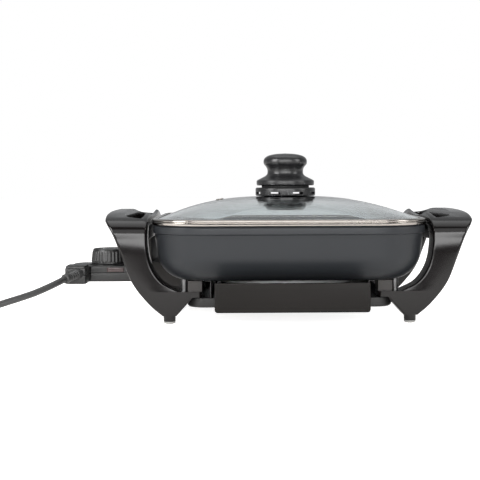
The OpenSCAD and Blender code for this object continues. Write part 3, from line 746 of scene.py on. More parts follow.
class Dresser:
    """Places finished pieces on their bodies, with their materials."""

    def __init__(self) -> None:
        """Starts with no material made."""
        self.made: dict[str, bpy.types.Material] = {}

    def material(self, slot: str) -> bpy.types.Material:
        """The material for a slot of the record or a finish of this script, made once.

        Args:
            slot: The slot or the finish.

        Returns:
            The material.
        """
        if slot not in self.made:
            if slot == "glass":
                self.made[slot] = clear_glass(slot)
            else:
                self.made[slot] = surface(slot, FINISHES[slot])
        return self.made[slot]

    def piece(self, name: str, shape: Shape, body: Body, slot: str, replaces: Sequence[str] = (),
              angle: float = 32.0, cuts: Sequence[Shape] = (),
              finish: str | None = None) -> bpy.types.Object:
        """Makes one piece.

        Args:
            name: The piece's name.
            shape: Its form.
            body: The body it rides on.
            slot: The record's slot that it takes its finish from.
            replaces: The nodes that it stands for.
            angle: Edges sharper than this many degrees stay sharp.
            cuts: Shapes cut out of it.
            finish: A finish of this script, if it isn't the slot's own.

        Returns:
            The piece.
        """
        obj = new_object(name, shape.mesh(name))
        cut(obj, cuts)
        obj.data.materials.clear()
        obj.data.materials.append(self.material(finish or slot))
        return self.settle(obj, body, replaces, angle)

    def settle(self, obj: bpy.types.Object, body: Body, replaces: Sequence[str] = (),
               angle: float = 32.0) -> bpy.types.Object:
        """Shades a piece and puts it on its body, for its nodes.

        Args:
            obj: The piece.
            body: The body it rides on.
            replaces: The nodes that it stands for.
            angle: Edges sharper than this many degrees stay sharp.

        Returns:
            The piece.
        """
        obj.data.polygons.foreach_set("use_smooth", [True] * len(obj.data.polygons))
        obj.data.set_sharp_from_angle(angle=math.radians(angle))
        obj.data.update()
        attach(obj, body.value)
        if replaces:
            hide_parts(*replaces)
        LOG.info("%s: %d faces", obj.name, len(obj.data.polygons))
        return obj

    def tube(self, name: str, path: Sequence[Point3], diameter: float, sides: int, body: Body,
             slot: str, replaces: Sequence[str]) -> bpy.types.Object:
        """Grows a round tube along a path.

        Args:
            name: The piece's name.
            path: The path, in metres.
            diameter: The tube's thickness, in metres.
            sides: Its sides.
            body: The body it rides on.
            slot: The record's slot that it takes its finish from.
            replaces: The nodes that it stands for.

        Returns:
            The piece.
        """
        mesh = bpy.data.meshes.new(name)
        mesh.from_pydata(path, [(k, k + 1) for k in range(len(path) - 1)], [])
        obj = grow_tube(new_object(name, mesh), self.material(slot), diameter / 2, sides)
        return self.settle(obj, body, replaces, 60)

    def copies(self, name: str, shape: Shape, places: Sequence[Point3], body: Body, slot: str,
               replaces: Sequence[str], finish: str | None = None, start: float = 0.0,
               turn: float = 0.0) -> bpy.types.Object:
        """Grows copies of a shape on places.

        Args:
            name: The piece's name.
            shape: The shape, drawn about the origin.
            places: The places, in millimetres.
            body: The body it rides on.
            slot: The record's slot that it takes its finish from.
            replaces: The nodes that it stands for.
            finish: A finish of this script, if it isn't the slot's own.
            start: The first copy's turn about Z, in radians.
            turn: What each next one adds, in radians.

        Returns:
            The piece.
        """
        part = new_object(f"{name}_one", shape.mesh(name))
        part.data.transform(Matrix.Translation((-SHIFT[0] / 1000, -SHIFT[1] / 1000, 0)))
        mesh = bpy.data.meshes.new(name)
        mesh.from_pydata(in_frame(places), [], [])
        obj = grow_copies(new_object(name, mesh), self.material(finish or slot), part, start, turn)
        bpy.data.objects.remove(part, do_unlink=True)
        return self.settle(obj, body, replaces)

    def dress_nodes(self) -> None:
        """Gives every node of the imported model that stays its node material."""
        slots = {part["node"]: part["material_slot"] for part in frame["record"]["subparts"]}
        for node, obj in frame["nodes"].items():
            material = self.material(NODE_FINISHES.get(node, slots[node]))
            if obj.material_slots:
                for place in obj.material_slots:
                    place.material = material
            else:
                obj.data.materials.append(material)


@dataclass(frozen=True)
class Pan:
    """The cast pan: a flat floor, a large round, a leaning side and the thicker rim band."""

    half: float = 146.0
    corner_r: float = 60.0
    bottom: float = 46.0
    rim_z: float = 104.0
    round_r: float = 32.0
    lean: float = 7.0
    wall: float = 3.5
    floor: float = 4.0
    band_h: float = 8.6
    band_out: float = 0.8
    floor_edge: float = 2.0

    def outline(self, inward: float = 0.0) -> list[Point2]:
        """The outer profile from the middle of the underside to the rim, as a corner sees it.

        Args:
            inward: How far it is drawn in.

        Returns:
            Pairs of reach beyond the corner's centre and height.
        """
        lean = math.radians(self.lean)
        top = self.corner_r - self.band_out
        round_z = self.bottom + self.round_r
        tangent_z = round_z - self.round_r * math.sin(lean)
        at = top - (self.rim_z - tangent_z) * math.tan(lean) - self.round_r * math.cos(lean)
        r = self.round_r - inward
        return arc((at, round_z), r, -90, -self.lean, 20)

    def profile(self) -> list[Point2]:
        """The whole section, up the outside, over the rim and down the inside.

        Returns:
            Pairs of reach beyond the corner's centre and height.
        """
        r, rim_z = self.corner_r, self.rim_z
        lean = math.tan(math.radians(self.lean))
        band_z = rim_z - self.band_h
        side = r - self.band_out
        outer = [(self.floor_edge, self.bottom)] + self.outline()
        outer += rounded([
            (side - (self.band_h + 6) * lean, band_z - 6), (side - self.band_h * lean, band_z),
            (r - 0.1, band_z + 0.5), (r, band_z + 1.6), (r, rim_z - 1.6), (r - 1.6, rim_z),
            (side - self.wall - 0.2, rim_z), (side - self.wall - 1.2, rim_z - 2.5),
        ], 0.45, 4, closed=False)
        deeper = self.floor - self.wall
        inner = [(reach, z + deeper * (1 - k / 20))
                 for k, (reach, z) in enumerate(self.outline(self.wall))]
        inner.append((self.floor_edge, self.bottom + self.floor))
        inner.sort(key=lambda spot: -spot[1])
        return outer + inner

    def build(self, dresser: Dresser) -> None:
        """Makes the pan's shell.

        Args:
            dresser: Places the pieces.
        """
        at = self.half - self.corner_r
        rings = [[(x, y, z) for x, y in square_ring(at + max(r, 0.0), max(r, 0.5), 20)]
                 for r, z in self.profile()]
        dresser.piece("pan_shell", Shape().skin(rings), Body.BASE, "pan_coat", ["pan"], angle=50)


@dataclass(frozen=True)
class Handles:
    """Grip, legs and arms of both handles, each one moulding with a finger slot."""

    foot_h: float = 9.4
    arm_bottom: float = 28.5
    arm_x: float = 93.0
    strip_x: float = 151.2
    slot_x: float = 157.2
    slot_w: float = 21.0
    slot_bevel: float = 22.0
    leg_face: float = 114.0
    leg_back: float = 84.0
    arch_r: float = 14.0
    crown: float = 91.3
    crown_power: float = 2.7
    top: float = 118.6
    grip_bottom: float = 102.2
    edge_r: float = 3.2
    lean_from: float = 75.0
    lean_in: float = 1.3
    dip_r: float = 340.0
    dip_depth: float = 8.0
    nest_x: float = 110.0
    nest_y: float = 106.8
    pocket_z: tuple[Point2, ...] = ((42.0, 66.0), (70.0, 92.0))
    outer_edge: tuple[Point2, ...] = (
        (9.4, 134.6), (18, 145), (28, 154.5), (38, 162.4), (48, 168.3), (66, 175.3), (87, 183.3),
        (104, 191.2), (110, 194.3), (114, 196.8), (116, 197.5), (117.3, 196.8), (118.6, 194.5),
    )
    inner_edge: tuple[Point2, ...] = (
        (9.4, 119.4), (14, 115.26), (19, 110.76), (24, 106.25), (27.5, 103.1), (28.5, 102.2),
        (28.55, 93.2), (34.5, 93.2), (34.6, 116), (37.2, 121.6), (40.8, 130), (46, 136.4),
        (54, 142.6), (64, 147.3), (74, 149.7), (90, 151.2), (118.6, 151.2),
    )

    def crown_height(self, y: float) -> float:
        """Height of the arch's upper outline at a distance from the middle."""
        share = max(0.0, 1 - min(1.0, abs(y) / self.leg_face) ** self.crown_power)
        return self.crown + (self.top - self.crown) * share ** (1 / self.crown_power)

    def reach_z(self, y: float, z: float) -> float:
        """Where to read the outer edge, so that the grip's rounded edge follows its crown.

        Args:
            y: Distance from the middle.
            z: Height.

        Returns:
            The height at which the outer edge's table is read.
        """
        low, flat, soft, most = 88, 103, 7, 0.55
        top = self.crown_height(y)
        share = min(1.0, max(0.0, (z - low) / max(0.1, top - low)))
        strength = most * min(1.0, max(0.0, (top - flat) / soft))
        return z + (self.top - top) * strength * share

    def stations(self) -> list[tuple[Point2, Point2]]:
        """Outer and inner points of the arch, in depth and height, from foot to foot.

        Returns:
            Pairs of an outer and an inner point.
        """
        face, back = -self.leg_face, -self.leg_back
        first, spring = self.foot_h + 0.8, self.grip_bottom - self.arch_r
        heights = {self.foot_h, first, 28.48, 28.56, 31.5, 34.48, 34.62}
        heights.update(first + (self.crown - self.foot_h - 0.8) * k / 28 for k in range(1, 29))
        stations = []
        for z in sorted(heights):
            share = max(0.0, (z - self.lean_from) / (self.crown - self.lean_from))
            stations.append(((face + self.lean_in * share**2, z), (back, min(z, spring))))
        bend = arc((back + self.arch_r, spring), self.arch_r, 180, 90, 16)
        for k in range(1, 31):
            a = math.radians(180 - 3 * k)
            spot = ((face + self.lean_in) * abs(math.cos(a)) ** (2 / self.crown_power),
                    self.crown + (self.top - self.crown) * math.sin(a) ** (2 / self.crown_power))
            under = bend[k] if k <= 16 else (bend[16][0] * (30 - k) / 14, self.grip_bottom)
            stations.append((spot, under))
        mirrored = [((-o[0], o[1]), (-i[0], i[1])) for o, i in reversed(stations[:-1])]
        return stations + mirrored

    def section(self, outer: Point2, inner: Point2, inset: float = 0.0) -> list[Point3]:
        """One rounded section of the handle between the arch's two points.

        Args:
            outer: The outer point.
            inner: The inner point.
            inset: How far the section is drawn in.

        Returns:
            The section's ring.
        """
        o, i = Vector(outer), Vector(inner)
        thick = (i - o).length
        middle = (outer[1] + inner[1]) / 2
        width = lookup(middle, self.outer_edge) - lookup(middle, self.inner_edge)
        r = min(self.edge_r, thick / 2.4, width / 2.4)
        ring = []
        for across, deep in box_outline((0, 0), (width, thick), inset, r, 5):
            spot = o + (i - o) * (deep / thick)
            x0 = lookup(spot.y, self.inner_edge)
            x1 = lookup(self.reach_z(spot.x, spot.y), self.outer_edge)
            ring.append((x0 + (x1 - x0) * across / width, spot.x, spot.y))
        return ring

    def slot_outline(self, grow: float) -> list[Point2]:
        """The finger slot seen from above, grown by a distance.

        Args:
            grow: The distance.

        Returns:
            The outline.
        """
        end = self.leg_face - self.slot_bevel + grow
        near, far = self.slot_x + 1 - grow, self.slot_x + self.slot_w - 1 + grow
        return rounded([(near, -end), (far - 5, -end + 6), (far, -end + 18), (far, end - 18),
                        (far - 5, end - 6), (near, end)], [4, 4, 8, 8, 4, 4], 6)

    def slot(self) -> Shape:
        """The finger slot with its flared mouth, for cutting.

        Returns:
            The shape.
        """
        rings = []
        for z, grow in ((80, 0), (self.top - 3.0, 0.0), (self.top - 1.2, 0.2),
                        (self.top - 0.5, 0.6), (self.top + 0.02, 1.4), (self.top + 6, 7)):
            follows = self.grip_bottom < z < self.top + 1
            rings.append([(x, y, z + (self.crown_height(y) - self.top if follows else 0.0))
                          for x, y in self.slot_outline(grow)])
        return Shape().skin(rings)

    def pocket(self, side: int, z0: float, z1: float) -> Shape:
        """A hollow in a leg's inner face, for cutting.

        Args:
            side: 1 for the rear leg, -1 for the front one.
            z0: Height of its lower edge.
            z1: Height of its upper edge.

        Returns:
            The shape.
        """
        wall, middle = 5, 79
        outline = rounded([
            (lookup(z0, self.inner_edge) + wall, z0), (lookup(z0, self.outer_edge) - wall, z0),
            (lookup(z1, self.outer_edge) - wall, z1), (lookup(z1, self.inner_edge) + wall, z1),
        ], 2.2, 4)
        cx = (lookup(middle, self.inner_edge) + lookup(middle, self.outer_edge)) / 2
        cz = (z0 + z1) / 2
        rings = []
        for deep, grow in ((-2, 0.9), (0.0, 0.6), (1.0, 0.0), (25.0, -0.6)):
            rings.append([(x + grow * (1 if x > cx else -1), side * (self.leg_back + deep),
                           z + grow * (1 if z > cz else -1)) for x, z in outline])
        return Shape().skin(rings)

    def build(self, dresser: Dresser) -> None:
        """Makes both handles, each with the web beside its slot.

        Args:
            dresser: Places the pieces.
        """
        stations = self.stations()
        rings = [self.section(o, i) for o, i in stations]
        rings.insert(0, self.section(*stations[0], 0.8))
        rings.append(self.section(*stations[-1], 0.8))
        body = Shape().skin(rings)
        r = self.dip_r
        axle = Matrix.Translation((self.strip_x + 2.4, 0, self.top + r - self.dip_depth))
        dip = Shape().lathe([(0, -4), (r, -4), (r, 3.2), (r + 1, 4.4), (r + 4, 6.6), (0, 6.6)], 720,
                            axle @ Matrix.Rotation(math.pi / 2, 4, "Y"))
        nest = Shape().block((self.arm_x - 1, -self.nest_y, self.foot_h - 1),
                             (self.nest_x, self.nest_y, self.arm_bottom - 0.02), 0.3)
        tools = [self.slot(), dip, nest]
        tools += [self.pocket(s, z0, z1) for s in (-1, 1) for z0, z1 in self.pocket_z]
        web = Shape().block((self.strip_x + 0.1, -self.leg_back - 1.5, 88),
                            (self.slot_x - 0.1, self.leg_back + 1.5, self.grip_bottom + 5), 0.8)
        for name, hand in (("right_handle", lambda shape: shape),
                           ("left_handle", lambda shape: shape.mirrored_x())):
            dresser.piece(f"{name}_moulding", hand(body), Body.BASE, "handle_plastic", [name],
                          angle=38, cuts=[hand(tool) for tool in tools])
            dresser.piece(f"{name}_web", hand(web), Body.BASE, "handle_plastic")


@dataclass(frozen=True)
class Feet:
    """Stub feet with pale rounded tips."""

    x: float = 127.5
    y: float = 102.0

    def build(self, dresser: Dresser) -> None:
        """Makes the four feet.

        Args:
            dresser: Places the pieces.
        """
        places = [(sx * self.x, sy * self.y, 0.0) for sx in (-1, 1) for sy in (-1, 1)]
        stub = Shape().turned([(0.2, 2.6), (6.4, 2.6), (6.5, 9.38), (0.2, 9.38)],
                              [0, 0.5, 0.2, 0], 4, 48, closed=False)
        tip = Shape().turned([(0.2, 0.0), (4.0, 0.0), (6.1, 1.0), (6.3, 2.62), (0.2, 2.62)],
                             [0, 1.0, 0.8, 0.3, 0], 5, 48, closed=False)
        dresser.copies("foot_stubs", stub, places, Body.BASE, "handle_plastic", ["feet"])
        dresser.copies("foot_tips", tip, places, Body.BASE, "pale_rubber", ["foot_pads"])


@dataclass(frozen=True)
class Plate:
    """The dished base plate with its raised pads and the way in for the tray."""

    z: float = 17.0
    h: float = 10.5
    half: float = 109.2
    corner_r: float = 18.0
    way_half: float = 79.5
    pad_x: float = 97.0
    pad_y: float = 96.0

    def build(self, dresser: Dresser) -> None:
        """Makes the dish and its pads.

        Args:
            dresser: Places the pieces.
        """
        z0, top = self.z, self.z + self.h
        rings = []
        for inset, z in ((5.0, z0), (2.0, z0 + 0.5), (0.5, z0 + 1.9), (0.0, z0 + 4.0),
                         (0.0, top - 0.3), (0.3, top), (0.8, top), (1.0, top - 0.3),
                         (1.0, z0 + 4.2), (1.6, z0 + 2.4), (3.0, z0 + 1.3), (6.0, z0 + 1.0)):
            outline = square_ring(self.half - inset, max(self.corner_r - inset, 2), 12)
            rings.append([(x, y, z) for x, y in outline])
        tools = [Shape().block((-self.way_half, -114, z0 + 1.02),
                               (self.way_half, -105.5, top + 4), 0.2)]
        pads = Shape()
        for sx, sy in ((-1, -1), (-1, 1), (1, -1), (1, 1)):
            place = Matrix.Translation((sx * self.pad_x, sy * self.pad_y, 0))
            pads.turned([(2.3, z0 + 11.5), (5.2, z0 + 11.5), (7.4, z0 + 7), (7.5, z0 + 1.0),
                         (6.2, z0 + 0.2), (6.0, z0 + 9.6), (2.3, z0 + 10.4)],
                        [0, 1.2, 1.0, 0.5, 0.3, 0.8, 0], 4, 40, place)
            tools.append(Shape().bar(6.4, z0 - 2, z0 + 5, 40, place))
        dresser.piece("plate_dish", Shape().skin(rings), Body.BASE, "plate_paint", ["base_plate"],
                      cuts=tools)
        dresser.piece("plate_pads", pads, Body.BASE, "plate_paint", ["base_plate"])


@dataclass(frozen=True)
class Tray:
    """The tray: an open box behind a taller front with rounded lower corners."""

    half: float = 78.5
    front: float = 162.0
    length: float = 222.0
    floor: float = 18.3
    front_h: float = 30.0
    box_h: float = 15.0

    def box_ring(self, inset: float, z: float) -> list[Point3]:
        """One level line of the box behind the front.

        Args:
            inset: How far it is drawn in.
            z: Its height.

        Returns:
            The ring.
        """
        side, y0, y1 = self.half - 1, 2.9 - self.front, self.length - self.front
        least = y0 + (inset if inset > 1.8 else 0)
        outline = rounded([(-side + inset, y0), (side - inset, y0), (side - inset, y1 - inset),
                           (-side + inset, y1 - inset)], [0.2, 0.2, 6, 6], 6)
        return [(x, max(y, least), z) for x, y in outline]

    def build(self, dresser: Dresser) -> None:
        """Makes the front and the box.

        Args:
            dresser: Places the pieces.
        """
        z0, top = self.floor, self.floor + self.box_h
        front = Shape().prism(
            lambda inset: box_outline((-self.half, z0), (self.half, z0 + self.front_h), inset,
                                      [3.6, 3.6, 1.0, 1.0], 7),
            -3.0, 0.0, 0.9,
            Matrix.Translation((0, -self.front, 0)) @ Matrix.Rotation(math.pi / 2, 4, "X"))
        dresser.piece("tray_front", front, Body.TRAY, "tray_paint", ["drip_tray"])
        box = Shape().skin([self.box_ring(inset, z) for inset, z in (
            (1.6, z0), (0.5, z0 + 0.45), (0.0, z0 + 1.6), (0.0, top - 0.6), (0.4, top), (1.6, top),
            (2.0, top - 0.6), (2.2, z0 + 4.4), (2.8, z0 + 2.9), (4.4, z0 + 2.0))])
        dresser.piece("tray_box", box, Body.TRAY, "tray_paint", ["drip_tray"])


@dataclass(frozen=True)
class Lid:
    """The glass dome in its rolled metal rim, with the steam eyelet."""

    seat: float = 104.4
    top: float = 111.2
    rim_r: float = 61.0
    rim_at: float = 86.0
    glass_edge: float = 109.3
    glass_t: float = 4.0
    glass_half: float = 144.6
    glass_corner: float = 58.6
    dome_rise: float = 24.0
    middle_share: float = 0.0285
    eyelet_x: float = 76.0

    def dome(self, t: float) -> float:
        """Height over the edge, as a share of the rise, at a share of the half width."""
        return max(0.0, 1 - t**3) ** 1.2

    def glass_ring(self, t: float, drop: float) -> list[Point3]:
        """One level line of the glass.

        Args:
            t: Its half width, as a share of the glass's.
            drop: How far it lies under the upper face.

        Returns:
            The ring.
        """
        half = self.glass_half * t
        r = min(half, self.glass_corner * (0.25 + 0.75 * t) * t + half * (1 - t))
        z = self.glass_edge + self.dome_rise * self.dome(t) - drop
        return [(x, y, z) for x, y in square_ring(half, r, 16)]

    def eyelet_place(self) -> Matrix:
        """The eyelet's place on the glass, square to its slope.

        Returns:
            The matrix.
        """
        t = self.eyelet_x / self.glass_half
        slope = math.atan(self.dome_rise * 3.6 * t * t * (1 - t**3) ** 0.2 / self.glass_half)
        z = self.glass_edge + self.dome_rise * self.dome(t)
        return Matrix.Translation((-self.eyelet_x, 0, z)) @ Matrix.Rotation(-slope, 4, "Y")

    def rim(self) -> list[Point2]:
        """The rolled rim's section, from its lip under the glass round to its top.

        Returns:
            Pairs of reach beyond the corner's centre and height.
        """
        r, z0, z1 = self.rim_r, self.seat, self.top
        return rounded([
            (r - 8, z0 + 0.1), (r - 1.8, z0), (r - 0.3, z0 + 0.4), (r - 0.15, z0 + 3.4),
            (r - 0.75, z0 + 3.8), (r - 0.75, z0 + 4.1), (r - 0.1, z0 + 4.4), (r, z1 - 1.1),
            (r - 1.6, z1), (r - 5.4, z1), (r - 6.0, z1 - 0.5), (r - 5.6, z1 - 0.7),
            (r - 2.1, z1 - 0.7), (r - 2.1, z0 + 0.7), (r - 8, z0 + 0.75),
        ], [0.1, 0.7, 0.6, 0.3, 0.15, 0.15, 0.3, 0.9, 1.1, 0.4, 0.2, 0.1, 0.3, 0.3, 0.1], 4)

    def build(self, dresser: Dresser) -> None:
        """Makes the glass, its rim and the eyelet.

        Args:
            dresser: Places the pieces.
        """
        least, t = self.middle_share, self.glass_t
        steps = [least + (1 - least) * (k / 40) ** 0.8 for k in range(41)]
        rings = [self.glass_ring(share, t) for share in steps]
        rings += [self.glass_ring(1.0, t * share) for share in (0.85, 0.6, 0.4, 0.15)]
        rings += [self.glass_ring(share, 0.0) for share in reversed(steps)]
        place = self.eyelet_place()
        dresser.piece("dome_glass", Shape().skin(rings, ring_closed=True), Body.LID, "glass",
                      ["lid_glass"], angle=50, cuts=[Shape().bar(3.0, -15, 15, 40, place)])
        dresser.piece("rim_band", Shape().sweep(self.rim(), self.rim_at, 24), Body.LID, "stainless",
                      ["lid_rim"], angle=40)
        eyelet = Shape().turned([(1.5, -t - 1.0), (2.8, -t - 1.0), (2.8, 0.25), (4.4, 0.25),
                                 (4.5, 0.8), (3.4, 1.4), (2.0, 1.3), (1.5, 0.6)],
                                0.25, 4, 56, place)
        dresser.piece("eyelet_ring", eyelet, Body.LID, "stainless", ["steam_eyelet"])


@dataclass(frozen=True)
class Knob:
    """Knob, window ring, collar and what holds them under the glass."""

    vent_z: float = 133.5
    collar_z: float = 143.0
    z: float = 145.5
    windows: int = 8

    def window(self, number: int, place: Matrix) -> Shape:
        """A window of the ring, for cutting.

        Args:
            number: Which one.
            place: The ring's place.

        Returns:
            The shape.
        """
        turn = Matrix.Rotation(math.radians(360 / self.windows * (number + 0.5)), 4, "Z")
        return Shape().prism(lambda inset: box_outline((28, -6.5), (40, 6.5), inset, 0.6, 2),
                             2.0, 4.6, 0.4, place @ turn, 2)

    def build(self, dresser: Dresser) -> None:
        """Makes all pieces of the knob.

        Args:
            dresser: Places the pieces.
        """
        up = Matrix.Translation((0, 0, self.z))
        knob = Shape().turned([
            (0.3, 0.0), (32.4, 0.0), (33.25, 0.9), (33.25, 5.2), (32.2, 6.2), (22.4, 11.2),
            (20.6, 13.5), (20.5, 18.2), (22.0, 21.5), (24.8, 24.4), (25.25, 27.4), (24.6, 31.0),
            (20.5, 34.4), (12.0, 36.4), (0.3, 37.0),
        ], [0, 0.5, 0.7, 0.7, 1.0, 2.2, 1.4, 2.4, 2.2, 1.5, 1.6, 2.2, 4.0, 5.0, 0], 7, 128, up,
            closed=False)
        dresser.piece("knob_form", knob, Body.LID, "knob_plastic", ["knob"], angle=45)
        groove = Matrix.Translation((0, 0, self.collar_z))
        collar = Shape().turned([(4.2, 0.05), (27.2, 0.05), (27.4, 0.4), (27.4, 2.1), (27.2, 2.45),
                                 (4.2, 2.45)], 0.15, 3, 96, groove)
        dresser.piece("collar_ring", collar, Body.LID, "black_rubber", ["knob_collar"])
        place = Matrix.Translation((0, 0, self.vent_z))
        wall = Shape().turned([(31.0, 0.0), (33.6, 0.0), (34.5, 0.9), (34.5, 8.4), (33.4, 9.5),
                               (31.0, 9.5)], 0.5, 4, 160, place)
        dresser.piece("window_ring", wall, Body.LID, "knob_plastic", ["vent_ring"],
                      cuts=[self.window(k, place) for k in range(self.windows)])
        core = Shape().turned([(4.2, 0.02), (31.2, 0.02), (31.2, 1.8), (8.4, 1.8), (8.0, 2.2),
                               (8.0, 7.2), (8.4, 7.6), (31.2, 7.5), (31.2, 9.45), (4.2, 9.45)],
                              0.2, 3, 96, place)
        dresser.piece("window_core", core, Body.LID, "knob_plastic", ["vent_ring"])
        low = Matrix.Translation((0, 0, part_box("glass_seal")[0][2] * 1000))
        washer = Shape().turned([(4.2, 0.0), (28.0, 0.0), (31.9, 2.7), (31.8, 2.98), (4.2, 2.98)],
                                [0.1, 0.6, 0.3, 0.2, 0.1], 4, 96, low)
        dresser.piece("seal_washer", washer, Body.LID, "grey_rubber", ["glass_seal"])
        low = Matrix.Translation((0, 0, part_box("retaining_disc")[0][2] * 1000))
        disc = Shape().turned([(6.5, 0.05), (18.4, 0.0), (22.6, 1.6), (23.35, 5.2), (23.3, 6.0),
                               (19.4, 6.98), (4.2, 6.98), (4.2, 3.0), (6.5, 3.0)],
                              [0.1, 2.4, 2.0, 0.6, 0.6, 1.5, 0.1, 0.1, 0.1], 5, 96, low)
        dresser.piece("holding_disc", disc, Body.LID, "guard_plastic", ["retaining_disc"],
                      finish="pale_plastic")


@dataclass(frozen=True)
class Control:
    """Both shells of the plug-in control, its lens and the dial's bezel."""

    z: float = 37.5
    seam_z: float = 47.5
    seam_gap: float = 0.15
    top: float = 55.5
    tail_top: float = 58.0
    socket_x: float = -141.0
    socket_z: float = 42.6
    socket_r: float = 3.3
    socket_pitch: float = 13.0
    dial_x: float = -200.0

    def outline(self, inset: float) -> list[Point2]:
        """The control seen from above, drawn in by a distance.

        Args:
            inset: The distance.

        Returns:
            The outline.
        """
        i = inset
        corners = [(-142 - i, -28 + i), (-142 - i, 28 - i), (-238 + i * 0.6, 28 - i),
                   (-246 + i, 16 - i * 0.4), (-246 + i, -56 + i), (-222 - i, -56 + i),
                   (-222 - i, -28 + i)]
        return rounded(corners, [2, 2, 4, 4, 4, 4, 3], 6)

    def build(self, dresser: Dresser) -> None:
        """Makes the shells with their openings, the lens and the bezel.

        Args:
            dresser: Places the pieces.
        """
        relief_hole = Shape().bar(5.2, -3, 34, 40, LEAD.relief_place())
        sockets = []
        for y in (-self.socket_pitch, 0.0, self.socket_pitch):
            place = Matrix.Translation((self.socket_x, y, self.socket_z))
            sockets.append(Shape().bar(self.socket_r, -2, 5, 32,
                                       place @ Matrix.Rotation(-math.pi / 2, 4, "Y")))
        seam, gap = self.seam_z, self.seam_gap
        lower = Shape().prism(self.outline, self.z, seam - gap, 0.35, low_r=1.8, steps=5)
        dresser.piece("lower_shell", lower, Body.CONTROL, "control_plastic", ["control_base"],
                      cuts=[relief_hole] + sockets)
        upper = Shape().prism(self.outline, seam + gap, self.top, 1.4, low_r=0.35, steps=5)
        lens_hole = Shape().block((-203, -30, seam + 0.9), (-184, -25.4, seam + 6.1), 0.3)
        dresser.piece("upper_shell", upper, Body.CONTROL, "control_plastic", ["control_cover"],
                      cuts=[relief_hole, lens_hole])
        at = Matrix.Translation((self.dial_x, 0, self.top))
        tail = Shape().prism(
            lambda inset: box_outline((-245.2, -55.2), (-222.8, -30), inset, 3.4, 5),
            seam + 3, self.tail_top, 1.6)
        dresser.piece("tail_cap", tail, Body.CONTROL, "control_plastic", ["control_cover"],
                      cuts=[relief_hole, Shape().bar(27.3, 0.02, 12, 96, at)])
        lens = Shape().block((-202.8, -28.35, seam + 1.05), (-184.2, -25.3, seam + 5.95), 0.5)
        dresser.piece("lamp_lens", lens, Body.CONTROL, "red_lens", ["indicator_lens"])
        bezel = Shape().turned([(3.6, 0.02), (26.9, 0.02), (26.9, 0.5), (26.2, 1.38), (25.0, 1.4),
                                (3.6, 1.3)], 0.25, 4, 128, at)
        dresser.piece("bezel_ring", bezel, Body.CONTROL, "stainless", ["dial_bezel"],
                      finish="dial_ring")


@dataclass(frozen=True)
class Dial:
    """The ribbed dial with its rim ring and generic marks."""

    x: float = -200.0
    z: float = 57.2
    h: float = 16.3
    r: float = 23.9
    ribs: int = 36
    rib_depth: float = 0.5
    marks: int = 7
    first_mark: float = -135.0
    mark_step: float = 45.0

    def ripple(self, angle: float, z: float) -> float:
        """Radius that the ribs add.

        Args:
            angle: Where, in radians.
            z: At what height.

        Returns:
            The added radius.
        """
        wave = 0.5 + 0.5 * math.cos(angle * self.ribs)
        rise = min(1.0, max(0.0, (z - 1.0) / 1.2))
        fade = rise * min(1.0, max(0.0, (self.h - 2.2 - z) / 1.2))
        return self.rib_depth * fade * wave**0.7

    def build(self, dresser: Dresser) -> None:
        """Makes the dial, its ring and its marks.

        Args:
            dresser: Places the pieces.
        """
        h, r = self.h, self.r
        at = Matrix.Translation((self.x, 0, self.z))
        side = [(3.1, 0.0), (23.4, 0.0), (r, 0.3), (r, 0.9)]
        side += [(r - 1.8 * z / h, z) for z in (1.2, 1.6, 2.2, 4.0, 6.0, 8.0, 10.0, 12.0, 13.2,
                                                h - 2.6, h - 2.2)]
        side += rounded([(22.0, h - 1.6), (21.7, h - 0.4), (21.0, h), (20.4, h), (20.0, h - 0.8),
                         (0.3, h - 0.8)], 0.3, 4, closed=False)
        form = Shape().lathe(side, self.ribs * 16, at, ripple=self.ripple)
        dresser.piece("dial_form", form, Body.DIAL, "control_plastic", ["temperature_dial"],
                      angle=40)
        ring = Shape().turned([(21.95, h - 1.5), (22.25, h - 1.3), (21.95, h - 0.35), (21.2, h),
                               (21.1, h - 0.3), (21.7, h - 0.7)], 0.1, 3, 128, at)
        dresser.piece("dial_rim_ring", ring, Body.DIAL, "control_plastic", ["temperature_dial"],
                      finish="dial_ring")
        mark = Shape().block((15.0, -0.35, h - 0.82), (18.6, 0.35, h - 0.62), 0.08)
        dresser.copies("dial_marks", mark, [(self.x, 0.0, self.z)] * self.marks, Body.DIAL,
                       "control_plastic", ["temperature_dial"], "marks",
                       math.radians(self.first_mark), math.radians(self.mark_step))


